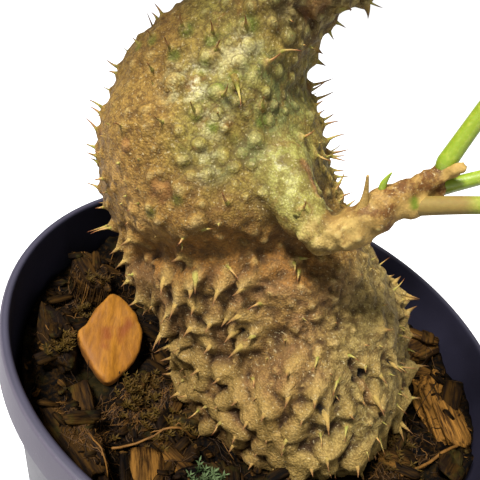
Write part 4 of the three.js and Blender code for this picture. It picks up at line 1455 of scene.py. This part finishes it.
# the top of the rim, where a painted highlight goes
rim_highlight_mark = smoothstep(POT_HEIGHT - 1.0, POT_HEIGHT, pot_points[:, 2]) * smoothstep(0.5, 0.2, np.abs(facing))
add_piece(
    "nursery_pot", pot_points, pot_faces, pot_material, "pot_plastic", ["pot"],
    {"outer": outer_mark, "rim_highlight": rim_highlight_mark, "collar": smoothstep(skirt - 1, skirt, pot_points[:, 2])},
)

# %% [markdown]
# ## Bark chips
#
# The chips are split pine bark: layered plates with a fibrous grain along them. Each solid of the frame is
# wrapped in small faces and worked over: furrows that run along the chip, and ends torn into splinters. Its
# own axes are kept at the points as a vector, so the painted grain follows each chip wherever it lies.


# %% Finish of the bark
def along_grain(finish, squeeze):
    """Places on a chip in its own axes, squeezed along its length so that noise runs as fibres."""
    own_axes = finish.node("Attribute", {"attribute_name": "own_axes"}, output="Vector")
    return finish.node("VectorMath", {"operation": "MULTIPLY"}, {0: own_axes, 1: (squeeze, 1, 1)})

bark = Finish("bark", {"Specular IOR Level": 0.04})
tone = bark.field("tone")
stretched = along_grain(bark, 0.12)
fibre = bark.noise(0.9, 4, 0.65, stretched)
streak = bark.noise(2.6, 2, 0.5, stretched)
blotch = bark.noise(5, 3, 0.6)
dark_bark = bark.blend(fibre.ramp(0.4, 0.68), screen(4, 2, 1), screen(37, 23, 4))
amber_bark = bark.blend(fibre.ramp(0.36, 0.62), screen(52, 32, 12), screen(142, 98, 42))
bark_colour = bark.blend(tone, dark_bark, amber_bark)
bark_colour = bark.blend(streak.ramp(0.52, 0.66) * (0.8 - 0.5 * tone), bark_colour, screen(18, 11, 7))
bark_colour = bark.blend(blotch.ramp(0.56, 0.72) * 0.5, bark_colour, screen(52, 46, 16))
bark_material = bark.paint(
    Base_Color=bark_colour,
    Roughness=0.6 + 0.25 * fibre,
    Normal=bark.bump(fibre, 0.5),
)

pale = Finish("pale_bark", {"Specular IOR Level": 0.3})
pale_stretch = along_grain(pale, 0.3)
pale_fibre = pale.noise(0.8, 3, 0.6, pale_stretch)
pale_stain = pale.noise(4.2, 3, 0.6, pale_stretch)
pale_colour = pale.blend(pale_fibre.ramp(0.3, 0.7), screen(114, 70, 5), screen(138, 88, 10))
pale_colour = pale.blend(pale_stain.ramp(0.52, 0.64) * 0.3, pale_colour, screen(104, 58, 16))
pale_colour = pale.blend(pale.field("stain"), pale_colour, screen(108, 54, 2))
pale_colour = pale.blend(pale.field("edge") * 0.6, pale_colour, screen(100, 58, 22))
pale_material = pale.paint(
    Base_Color=pale_colour,
    Roughness=0.62 + 0.15 * pale_fibre,
    Normal=pale.bump(pale_fibre, 0.14),
)


# %% Axes, tones and the pale chip's outline
def own_frame(at):
    """Points measured along a piece's own long, middle and short axes, and those axes."""
    centred = at - at.mean(0)
    _, _, axes = np.linalg.svd(centred[:: max(1, len(at) // 400)], full_matrices=False)
    return centred @ axes.T, axes


TONES = {
    "chip_large_right": 1.0,
    "chip_red_front": 0.08,
    "chip_small_right": 0.25,
    "chip_dark_left": 0.02,
    "chip_ridge_left": 0.1,
}
STAINS = [[(129, 324), (123, 333), (120, 348)], [(107, 330), (107, 344)]]
STAIN_WIDTH = 1.2
PALE_TOP = 98.2


def on_chip(x, y):
    """Point on the top of the pale chip where the camera sees a pixel."""
    along = ray(x, y)
    return CAMERA_AT + along * (PALE_TOP - CAMERA_AT[2]) / along[2]


PALE_OUTLINE = [  # x and y in the picture
    (114, 298), (120, 300), (128, 306), (134, 312), (140, 321), (144, 328), (143, 335), (140, 345),
    (134, 354), (125, 361), (119, 366), (113, 370), (108, 370), (101, 366), (95, 360), (89, 352),
    (85, 345), (80, 338), (77, 333), (78, 329), (84, 322), (91, 314), (101, 304), (108, 299),
]


def shaped(at, outline, sectors=72):
    """A slab pushed in or out sideways until its outline from above is the wanted one."""
    middle = at[:, :2].mean(0)

    def polar(places):
        offset = places - middle
        return np.arctan2(offset[:, 1], offset[:, 0]), np.linalg.norm(offset, axis=1)

    angle, reach = polar(at[:, :2])
    wanted = np.interp(angle, *polar(outline), period=2 * np.pi)
    sector = ((angle / np.pi + 1) / 2 * sectors).astype(int) % sectors
    edge = np.zeros(sectors)
    np.maximum.at(edge, sector, reach)
    present = np.interp(angle, (2 * np.arange(sectors) + 1) * np.pi / sectors - np.pi, edge, period=2 * np.pi)
    moved_to = at.copy()
    moved_to[:, :2] = middle + (at[:, :2] - middle) * (wanted / present)[:, None]
    return moved_to


print("corners of the pale chip:", len(PALE_OUTLINE))

# %% [markdown]
# Each chip keeps the place and size of its solid and gets torn ends and furrows along its own grain.

# %% Dress each chip
bed = []
chip_names = sorted(name for name in frame["nodes"] if name.startswith("chip_"))
for index, name in enumerate(chip_names):
    node_points, node_faces, _, _ = arrays_of(frame["nodes"][name].data)
    chip, chip_faces, chip_edges, _ = remesh(node_points, node_faces, 0.5)
    is_pale = name == "chip_pale"
    if is_pale:
        chip = shaped(chip, np.array([on_chip(*spot)[:2] for spot in PALE_OUTLINE]))
    chip = soften(chip, chip_edges, 4 if is_pale else 2)
    local, axes = own_frame(chip)
    chip_normals = normals_of(chip, chip_faces)
    furrow = bumps(local * [0.12, 1, 1] + index * 9.1, 1.9, 5)
    furrow = furrow + 0.6 * bumps(local * [0.16, 1, 1] + index, 0.9, 6)
    plates = np.round(1.6 * bumps(local * [0.35, 0.6, 1] + index * 3.3, 4.2, 7)) / 1.6
    depth = 0.07 * furrow if is_pale else 0.5 * furrow + 0.55 * plates
    chip = chip + chip_normals * (depth + 0.3 * bumps(chip, 5, 8))[:, None]
    if not is_pale:
        end = np.abs(local[:, 0]) / np.abs(local[:, 0]).max()
        tear = smoothstep(0.6, 1, end) * 2.0 * bumps(local * [0.05, 1, 1] + index * 5.7, 1.2, 14)
        chip = chip + (tear * np.sign(local[:, 0]))[:, None] * axes[0]
    edge_mark = smoothstep(0.7, 0.2, np.abs(normals_of(chip, chip_faces)[:, 2]))
    stain = np.zeros(len(chip))
    if is_pale:
        for spots in STAINS:
            reach = line_through([on_chip(*spot) for spot in spots], chip) / STAIN_WIDTH
            stain = np.maximum(stain, 1 - smoothstep(0.5, 1.6, reach + 0.5 * bumps(chip, 1.4, 19)))
        pale_places = chip[:, :2]
    bed.append((chip, chip_faces))
    if name == "chip_large_right":
        right_axes = axes
    chip_tone = np.full(len(chip), TONES.get(name, 0.16 * draw(index, 4) ** 2))
    add_piece(
        "bark_" + name, chip, chip_faces, pale_material if is_pale else bark_material,
        "pale_bark" if is_pale else "bark", [name],
        {"own_axes": local * MM, "tone": chip_tone, "edge": edge_mark, "stain": stain},
    )

# %% [markdown]
# ## Potting mix
#
# Between the chips the mix is dark, wet and crumbly. Its top is a ring grid pushed up and down by bumps of
# four sizes and heaped a little against the right wall, closed below by the form of the pot's inside.

# %% Potting mix
GAP = 0.3
MIX_LEVEL = 91
BED_RADIUS = 54
HEAP_TURN = math.radians(-8)
HEAP_HEIGHT = 6
HEAP_SPREAD = 0.4


def wall_inside(height):
    top = skirt - 1.2
    outside = np.interp(height, [POT_FLOOR, top], [POT_BASE_RADIUS, WALL_TOP_RADIUS])
    return outside - WALL


mix_sides = 320
mix_angle = np.linspace(0, 2 * np.pi, mix_sides, endpoint=False)
mix_floor = POT_FLOOR + GAP
side_rows = [(20, mix_floor), (wall_inside(mix_floor) - GAP, mix_floor), (wall_inside(86) - GAP, 86)]
mix_radii = np.concatenate([[row[0] for row in side_rows], np.linspace(wall_inside(90) - 0.5, 12, 70)])
mix_x = mix_radii[:, None] * np.cos(mix_angle)
mix_y = mix_radii[:, None] * np.sin(mix_angle)
flat_points = np.stack([mix_x, mix_y, np.zeros_like(mix_x)], -1).reshape(-1, 3)
crumbly = 1.7 * bumps(flat_points, 6.5, 31) + 1.0 * bumps(flat_points, 3.1, 32)
crumbly = crumbly + 0.7 * np.abs(bumps(flat_points, 1.7, 33)) + 0.35 * bumps(flat_points, 0.9, 34)
mix_top = MIX_LEVEL - 0.4 + crumbly.reshape(mix_x.shape) + 0.8 * smoothstep(40, 56, mix_radii)[:, None]
from_heap = (mix_angle - HEAP_TURN + np.pi) % (2 * np.pi) - np.pi
heap = smoothstep(45, 55, mix_radii)[:, None] * np.exp(-((from_heap / HEAP_SPREAD) ** 2))
mix_top = mix_top + HEAP_HEIGHT * heap * (mix_radii[:, None] < 56)
for row, (_, height_of_row) in enumerate(side_rows):
    mix_top[row] = height_of_row
mix_points, mix_faces = loft(np.stack([mix_x, mix_y, mix_top], -1))

soil = Finish("potting_mix", {"Specular IOR Level": 0.03})
soil_fleck = soil.noise(1.1, 4, 0.7)
soil_patch = soil.noise(7, 2)
soil_colour = soil.blend(soil_fleck.ramp(0.45, 0.72), screen(4, 2, 1), screen(40, 25, 5))
soil_colour = soil.blend(soil_patch.ramp(0.5, 0.7) * 0.4, soil_colour, screen(40, 34, 12))
soil_material = soil.paint(
    Base_Color=soil_colour,
    Roughness=0.5 + 0.35 * soil_fleck,
    Normal=soil.bump(soil_fleck, 0.5),
)
add_piece("mix_body", mix_points, mix_faces, soil_material, "mix", ["potting_mix"])
bed.append((mix_points, mix_faces))
bed_tree = BVHTree.FromPolygons(*(part if k else part.tolist() for k, part in enumerate(merge(bed))))


def drop(x, y):
    """Height of the bed of mix and chips under a place."""
    spot = bed_tree.ray_cast(Vector((x, y, 140)), Vector((0, 0, -1)))[0]
    return MIX_LEVEL if spot is None else spot[2]


# %% [markdown]
# Loose bits are many copies of a ball squared off, flattened and roughened. They are dropped round the
# caudex at random onto the mix and the chips, each with its own turn, size and tone, and none reaches past
# the pot's inner wall. A few larger flakes lie where the picture has them.


# %% Helpers for the bed
def ball(subdivisions):
    shell = bmesh.new()
    bmesh.ops.create_icosphere(shell, subdivisions=subdivisions, radius=1)
    at = np.array([vert.co for vert in shell.verts])
    round_faces = [[vert.index for vert in face.verts] for face in shell.faces]
    shell.free()
    return at, round_faces


def turn_matrix(generator, tip):
    angles = (generator.uniform(-tip, tip), generator.uniform(-tip, tip), generator.uniform(0, 2 * math.pi))
    return np.array(Euler(angles).to_matrix())


def on_bed(x, y):
    """Point of the mix or a chip where the camera sees a pixel, or the nearest that the wall allows."""
    along = ray(x, y)
    spot = bed_tree.ray_cast(Vector(CAMERA_AT), Vector(along))[0]
    if spot is not None:
        return np.array(spot)
    across = (CAMERA_AT + along * (MIX_LEVEL - CAMERA_AT[2]) / along[2])[:2]
    across = across * min(1, (BED_RADIUS - 1) / np.hypot(*across))
    return np.array([*across, drop(*across)])


def on_pale_chip(x, y):
    return np.linalg.norm(pale_places - [x, y], axis=1).min() < 1.0

def under_caudex(x, y):
    """True under the caudex, where nothing loose would be seen."""
    return math.hypot(x - CLEAR_MIDDLE[0], y - CLEAR_MIDDLE[1]) < CLEAR_RADIUS


print("one pixel on the bed is at", np.round(on_bed(466, 428), 1))

# %% [markdown]
# The flakes that the picture shows are laid first, and the rest are strewn between them.

# %% Loose bits
SEEN_FLAKES = [  # x and y in the picture, half length and half width in mm, tone
    (148, 470, 4.4, 3.4, 0.5), (176, 468, 4.2, 2.6, 0.35), (178, 404, 3.4, 1.2, 0.15),
    (392, 462, 4.2, 2.2, 0.35), (140, 384, 3.6, 1.4, 0.1), (60, 300, 3.5, 1.5, 0.05),
    (418, 372, 3.6, 1.6, 0.4), (96, 262, 3.4, 1.2, 0.12), (440, 352, 5.0, 2.4, 0.3),
    (430, 338, 4.0, 2.0, 0.2), (466, 474, 6.0, 3.0, 0.06),
]
SPLIT_FLAKES = [(466, 428, 7, 3.8), (472, 452, 6, 3.4)]  # along the grain of the large chip
LOOSE_BITS = 1300
BIT_LIMIT = 55.2
CLEAR_MIDDLE, CLEAR_RADIUS = (8, -8), 21

bits = np.random.default_rng(3)
shapes = {}
for count in (1, 2):
    at, round_faces = ball(count)
    shapes[count] = np.sign(at) * np.abs(at) ** 0.55, round_faces, at
bit_parts, bit_axes, bit_tones = [], [], []


def add_bit(middle, size, turn, tone):
    boxy, round_faces, at = shapes[2 if size[0] > 3 else 1]
    local = boxy * (1 + 0.2 * bumps(at * 2 + len(bit_parts) * 3.7, 1, 9))[:, None] * size
    placed = local @ turn.T + middle
    for _ in range(2):
        reaches = np.hypot(placed[:, 0], placed[:, 1])
        furthest = placed[reaches.argmax(), :2]
        placed[:, :2] -= furthest * max(0, 1 - BIT_LIMIT / reaches.max())
    bit_parts.append((placed, round_faces))
    bit_axes.append(local)
    bit_tones.append(np.full(len(local), tone))


for x, y, half_length, half_width, flake_tone in SEEN_FLAKES:
    size = np.array([half_length, half_width, 0.6])
    spot = on_bed(x, y)
    add_bit(spot + [0, 0, 0.5], size, turn_matrix(bits, 0.25), flake_tone)
for x, y, half_length, half_width in SPLIT_FLAKES:
    add_bit(on_bed(x, y) + [0, 0, 0.3], np.array([half_length, half_width, 0.7]), right_axes.T, 0.9)
while len(bit_parts) < LOOSE_BITS:
    reach = (BED_RADIUS + 1) * math.sqrt(bits.uniform(0.1, 1))
    at = bits.uniform(0, 2 * math.pi)
    middle = np.array([reach * math.cos(at), reach * math.sin(at), 0])
    long_side = bits.choice([0.5, 0.9, 1.8, 3.6], p=[0.45, 0.3, 0.18, 0.07]) * bits.uniform(0.8, 1.25)
    past_wall = reach + long_side > BED_RADIUS + 2
    if past_wall or under_caudex(*middle[:2]) or on_pale_chip(*middle[:2]):
        continue
    size = long_side * np.array([1, bits.uniform(0.25, 0.6), bits.uniform(0.12, 0.3)])
    middle[2] = drop(*middle[:2]) + size[2] * bits.uniform(0, 0.9)
    brightest = 0.6 if long_side < 1.4 else 0.15
    add_bit(middle, size, turn_matrix(bits, 0.55), brightest * bits.uniform(0, 1) ** 3)
bit_points, bit_faces = merge(bit_parts)
add_piece(
    "bark_bits", bit_points, bit_faces, bark_material, "bark", (),
    {"own_axes": np.concatenate(bit_axes) * MM, "tone": np.concatenate(bit_tones)},
)

# %% [markdown]
# ## Fibres, twigs and moss
#
# Coir fibres and a few twigs lie across the mix, and moss has started on it in several places. Fibres are
# thin tubes on short random walks, and the stouter twigs arch a little over the bits. Moss is made of
# shoots that curve up, each with small pointed leaflets all the way.

# %% Fibres and twigs
TWIGS = [  # both ends in the picture, radius in mm
    (112, 449, 196, 439, 0.26), (150, 434, 192, 438, 0.14), (88, 434, 104, 478, 0.14),
    (400, 476, 478, 470, 0.35), (68, 404, 92, 440, 0.1), (74, 408, 100, 452, 0.08),
    (72, 412, 96, 462, 0.08),
]
THATCH = [  # middle in the picture, spread in mm
    (150, 405, 10), (170, 430, 8), (120, 405, 8), (90, 280, 9), (400, 450, 8), (385, 465, 8),
    (80, 425, 5),
]
FIBRES = 1300
TWIG_ARCH = 1.8
THICKEST_FIBRE = 0.12
strand = np.random.default_rng(5)


def laid(start, end, wave, radius, steps=12):
    """A wavering line from one place to another that lies on the bed."""
    t = np.linspace(0, 1, steps)[:, None]
    flat = start + t * (end - start) + wave * np.cumsum(strand.normal(0, 0.35, (steps, 2)), axis=0)
    height = np.array([drop(*place) for place in flat])
    bridged = np.convolve(np.pad(height, 2, mode="edge"), np.ones(5) / 5, mode="valid")
    return np.column_stack([flat, np.maximum(height, bridged) + radius])


fibre_parts, fibre_tones = [], []
for x, y, far_x, far_y, radius in TWIGS:
    line = laid(on_bed(x, y)[:2], on_bed(far_x, far_y)[:2], 0.3, radius)
    stout = radius > THICKEST_FIBRE
    if stout:
        line[:, 2] += TWIG_ARCH * np.sin(np.linspace(0, math.pi, len(line)))
    fibre_parts.append(tube(line, np.full(len(line), radius), 6))
    fibre_tones.append(np.full(len(line) * 6, 1.0 if stout else 0.35))
thatch_middles = [(on_bed(x, y)[:2], spread) for x, y, spread in THATCH]
while len(fibre_parts) < FIBRES:
    if strand.uniform() < 0.6:
        middle, spread = thatch_middles[strand.integers(len(thatch_middles))]
        start = middle + strand.normal(0, 0.5 * spread, 2)
        length = strand.uniform(2, 7)
        way = math.pi / 2 + strand.normal(0, 0.5)
    else:
        reach, at = BED_RADIUS * math.sqrt(strand.uniform(0.15, 1)), strand.uniform(0, 2 * math.pi)
        start = reach * np.array([math.cos(at), math.sin(at)])
        length = strand.uniform(3, 14)
        way = strand.uniform(0, 2 * math.pi)
    end = start + length * np.array([math.cos(way), math.sin(way)])
    past_wall = max(np.hypot(*start), np.hypot(*end)) > BED_RADIUS + 0.5
    if past_wall or under_caudex(*start) or on_pale_chip(*start) or on_pale_chip(*end):
        continue
    radius = strand.uniform(0.04, THICKEST_FIBRE)
    line = laid(start, end, 0.5, radius)
    fibre_parts.append(tube(line, np.full(len(line), radius), 4))
    fibre_tones.append(np.full(len(line) * 4, strand.uniform(0, 1) ** 2.5))
fibre_points, fibre_faces = merge(fibre_parts)

straw = Finish("fibre", {"Roughness": 0.6, "Specular IOR Level": 0.15})
straw_noise = straw.noise(1.4, 2)
straw_colour = straw.blend(straw.field("tone"), screen(32, 21, 9), screen(104, 70, 28))
straw_colour = straw.blend(straw_noise.ramp(0.45, 0.7) * 0.5, straw_colour, screen(44, 26, 12))
straw_material = straw.paint(Base_Color=straw_colour)
add_piece(
    "mix_fibres", fibre_points, fibre_faces, straw_material, "mix", (),
    {"tone": np.concatenate(fibre_tones)},
)

# %% Moss
MOSS_PATCHES = [  # x and y in the picture, spread in mm, and 1 where the moss is fresh
    (165, 420, 9, 0), (140, 395, 7, 0), (385, 460, 8, 0), (60, 345, 4, 0), (95, 290, 4, 0),
    (200, 484, 2.4, 1), (212, 482, 2, 1),
]
MOSS_SHOOTS = 6
MOSS_LEAFLETS = 14


def moss_shoot(root, heading, length):
    """A curved stem with leaflets, as (points, faces) parts and the share of the way up at each point."""
    t = np.linspace(0, 1, 6)[:, None]
    lean = np.array([math.cos(heading), math.sin(heading), 0])

    def up_stem(share):
        return root + length * (share * np.array([0, 0, 0.75]) + 0.55 * share**2 * lean)

    stem = tube(up_stem(t), np.linspace(0.16, 0.06, 6), 4)
    made, up = [stem], [np.repeat(t[:, 0], 4)]
    for k in range(MOSS_LEAFLETS):
        share = 0.1 + 0.9 * k / MOSS_LEAFLETS
        foot = up_stem(share)
        way = k * 2.4 + heading
        out = np.array([math.cos(way), math.sin(way), 0.75])
        side = np.array([-math.sin(way), math.cos(way), 0]) * 0.17
        tip_at = foot + out * 0.95
        middle = foot + out * 0.4 + [0, 0, 0.06]
        made.append((np.array([foot, middle + side, tip_at, middle - side]), [[0, 1, 2], [0, 2, 3]]))
        up.append(np.full(4, share))
    return made, up


moss_parts, moss_up, moss_fresh = [], [], []
green_hand = np.random.default_rng(17)
for x, y, spread, fresh in MOSS_PATCHES:
    middle = on_bed(x, y)
    for _ in range(int(MOSS_SHOOTS * spread)):
        offset = green_hand.normal(0, spread * 0.45, 2)
        root = np.array([middle[0] + offset[0], middle[1] + offset[1], 0])
        if np.hypot(root[0], root[1]) > BED_RADIUS or on_pale_chip(*root[:2]):
            continue
        root[2] = drop(*root[:2]) - 0.3
        made, up = moss_shoot(root, green_hand.uniform(0, 2 * math.pi), green_hand.uniform(1.4, 3.0))
        moss_parts += made
        moss_up += up
        moss_fresh += [np.full(len(share), fresh) for share in up]
moss_points, moss_faces = merge(moss_parts)
moss = Finish("moss", {"Roughness": 0.7, "Specular IOR Level": 0.1})
moss_colour = moss.blend(moss.field("up"), screen(26, 17, 3), screen(72, 54, 14))
moss_colour = moss.blend(moss.noise(4, 2).ramp(0.4, 0.65) * 0.6, moss_colour, screen(58, 37, 8))
fresh_colour = moss.blend(moss.field("up").ramp(0.3, 1.0), screen(24, 36, 12), screen(78, 92, 58))
moss_colour = moss.blend(moss.field("fresh"), moss_colour, fresh_colour)
moss_material = moss.paint(Base_Color=moss_colour)
add_piece(
    "moss", moss_points, moss_faces, moss_material, "mix", (),
    {"up": np.concatenate(moss_up), "fresh": np.concatenate(moss_fresh)},
)

# %% [markdown]
# ## Leaves
#
# The leaves are thick and waxy, with a stout pale midrib and faint side veins. A leaf's middle line is
# worked out from its heading and rise, which turn a little with every step. The stalk is a tube on the
# first part of the line; the blade is two fine sheets, joined round the edge, folded along the rib and
# waved at the margin.

# %% Form of a leaf
LEAF_EDGE = 0.8
SOCKET_DEPTH = 2.2
RIB_DEPTH = 1.1
LINE_PIECES = 60
STALK_SIDES = 20
FAR_FROM_FOOT = 99.0
SIDE_LEAVES = {  # start, heading, rise, swing, droop, stalk, blade, radius
    "side_leaf_upper": ([13.5, -23.3, 159], 38, 77, -22, 62, 36, 72, 1.45),
    "side_leaf_middle": ([13.6, -23.2, 156], 10, 32, 16, 40, 30, 66, 1.25),
    "side_leaf_lower": ([9.4, -26, 152.9], 0, 23, -38, 26, 31, 62, 1.55),
}
TOP_LEAVES = [  # section number, heading, rise, swing, droop, stalk, blade, radius
    (14.6, 200, 40, 10, 48, 26, 80, 2),
    (15.3, 330, 46, -8, 50, 26, 82, 2),
    (15.8, 95, 44, 8, 52, 27, 84, 2),
    (16.3, 255, 56, 6, 50, 26, 78, 1.9),
    (16.7, 20, 60, -6, 46, 25, 74, 1.8),
    (17.1, 150, 68, 8, 44, 22, 62, 1.6),
]


def leaf_line(start, heading, rise, swing, droop, stalk, blade):
    """Rows of the leaf's middle line: place, direction and sideways direction."""
    share = np.arange(LINE_PIECES + 1) / LINE_PIECES
    up = np.radians(rise - droop * share**2 - 0.25 * droop * share)
    way = np.radians(heading + swing * share)
    along = np.stack([np.cos(up) * np.cos(way), np.cos(up) * np.sin(way), np.sin(up)], -1)
    steps = np.vstack([np.zeros(3), along[:-1] * (stalk + blade) / LINE_PIECES])
    side = np.stack([-np.sin(way), np.cos(way), np.zeros_like(way)], -1)
    return np.hstack([np.array(start) + np.cumsum(steps, axis=0), along, side])


def leaf_mesh(start, heading, rise, swing, droop, stalk, blade, radius, pieces=(72, 12)):
    """Points, faces and marks of one leaf."""
    rows = leaf_line(start, heading, rise, swing, droop, stalk, blade)
    foot = stalk / (stalk + blade)
    stalk_share = np.linspace(0, foot + 3 / (stalk + blade), 60)
    stalk_line = between(rows, stalk_share * LINE_PIECES)[:, :3]
    swollen = 1 + 0.12 * np.exp(-stalk_share * 40)
    rounded_foot = 0.3 + 0.7 * smoothstep(0, 0.02, stalk_share) ** 0.5
    taper = 1 - 0.35 * stalk_share / stalk_share[-1]
    stalk_part = tube(stalk_line, radius * taper * swollen * rounded_foot, STALK_SIDES)

    share = np.linspace(0, 1, pieces[0])
    blade_rows = between(rows, (foot + (1 - foot) * share) * LINE_PIECES)
    place, along, side = blade_rows[:, :3], unit(blade_rows[:, 3:6]), unit(blade_rows[:, 6:])
    lift = np.cross(along, side)
    half = np.maximum(0.5, 0.21 * blade * np.sin(np.pi * share**0.85) ** 0.75)
    reach = np.sin(np.linspace(-np.pi / 2, np.pi / 2, 2 * pieces[1] + 1))
    reach_grid, share_grid = np.meshgrid(reach, share)
    vein_phase = (share_grid * 9 - 0.9 * np.abs(reach_grid)) % 1
    vein = np.exp(-(((vein_phase - 0.5) / 0.09) ** 2)) * (1 - np.abs(reach_grid) ** 4)
    rib = np.exp(-((reach_grid * half[:, None] / 0.9) ** 2)) * (1 - 0.7 * share_grid)
    wave = 0.5 * np.sin(17 * share_grid + heading) * reach_grid**2 * np.sign(reach_grid)
    dip = 0.16 * half[:, None] * np.abs(reach_grid) - wave
    thick = LEAF_EDGE / 2 * (1 - 0.55 * reach_grid**6)
    sheet = place[:, None] + side[:, None] * (half[:, None] * reach_grid)[..., None]
    top = sheet + lift[:, None] * (-dip + thick - 0.18 * vein - 0.25 * rib)[..., None]
    bottom = sheet + lift[:, None] * (-dip - thick - 0.2 * vein - RIB_DEPTH * rib)[..., None]
    blade_part = loft(np.concatenate([top, bottom[:, ::-1]], axis=1))
    blade_vein = np.concatenate([0.6 * vein + rib, (0.6 * vein + rib)[:, ::-1]], axis=1).ravel()
    under = np.concatenate([np.zeros_like(vein), np.ones_like(vein)], axis=1).ravel()
    made_points, made_faces = merge([stalk_part, blade_part])
    stalk_count = len(stalk_part[0])
    stalk_mm = np.repeat(stalk_share * (stalk + blade), STALK_SIDES)
    fields = {
        "stalk": np.concatenate([np.ones(stalk_count), np.zeros(len(blade_vein))]),
        "foot": np.concatenate([stalk_mm, np.full(len(blade_vein), FAR_FROM_FOOT)]),
        "vein": np.concatenate([np.zeros(stalk_count), blade_vein]),
        "below": np.concatenate([np.zeros(stalk_count), under]),
    }
    return made_points, made_faces, fields


print("leaf line has", LINE_PIECES + 1, "rows")

# %% Finish of the leaves
waxy = Finish("leaf", {"Specular IOR Level": 0.5, "Subsurface Weight": 0.08, "Subsurface Scale": 0.002})
leaf_patch = waxy.noise(9, 3)
leaf_speck = waxy.noise(0.8, 2, 0.6)
blade_green = waxy.blend(leaf_patch, screen(62, 108, 28), screen(92, 138, 38))
blade_green = waxy.blend(waxy.field("below") * 0.6, blade_green, screen(140, 168, 84))
blade_green = waxy.blend(waxy.field("vein") * 0.6, blade_green, screen(176, 196, 104))
stalk_green = waxy.blend(leaf_speck.ramp(0.45, 0.7), screen(122, 137, 26), screen(146, 154, 50))
stalk_green = waxy.blend((1 - waxy.field("foot").ramp(2, 16)) * 0.5, stalk_green, screen(110, 134, 20))
beige = waxy.blend(leaf_speck, screen(100, 79, 22), screen(124, 102, 38))
stalk_green = waxy.blend(waxy.field("bleached") * (1 - waxy.field("foot").ramp(9, 13)), stalk_green, beige)
leaf_colour = waxy.blend(waxy.field("stalk"), blade_green, stalk_green)
leaf_material = waxy.paint(
    Base_Color=leaf_colour,
    Roughness=0.36 + 0.12 * leaf_patch + 0.34 * waxy.field("bleached"),
    Normal=waxy.bump(leaf_speck, 0.06),
)

for name, leaf in SIDE_LEAVES.items():
    leaf_points, leaf_faces, leaf_fields = leaf_mesh(*leaf)
    leaf_fields["bleached"] = np.full(len(leaf_points), 1.0 if name == "side_leaf_lower" else 0.0)
    piece_name = name.replace("side_leaf", "shoot_leaf")
    add_piece(piece_name, leaf_points, leaf_faces, leaf_material, "leaf", [name], leaf_fields)
BUD_CURL = [[0.2, 0.2, -0.4, -0.1], [-0.4, -0.1, 1.4, -0.08], [0.2, 0, 0.3, 0], [0.4, 0, 0.4, -0.08]]
bud_points, bud_faces = flared(BUD[[0, 0, 1, 2]] + BUD_CURL, 0.6)
bud_marks = {"stalk": np.ones(len(bud_points)), "foot": np.zeros(len(bud_points))}
add_piece("shoot_bud", bud_points, bud_faces, leaf_material, "leaf", (), bud_marks)
for index, (level, heading, *rest) in enumerate(TOP_LEAVES):
    x, y, z, half_width = between(SECTIONS, level)[:4]
    inset = half_width - SOCKET_DEPTH
    start = [x + inset * math.cos(math.radians(heading)), y + inset * math.sin(math.radians(heading)), z]
    leaf_points, leaf_faces, leaf_fields = leaf_mesh(start, heading, *rest)
    leaf_fields["bleached"] = np.zeros(len(leaf_points))
    node = f"top_leaf_{index + 1}"
    add_piece(f"crown_leaf_{index + 1}", leaf_points, leaf_faces, leaf_material, "leaf", [node], leaf_fields)
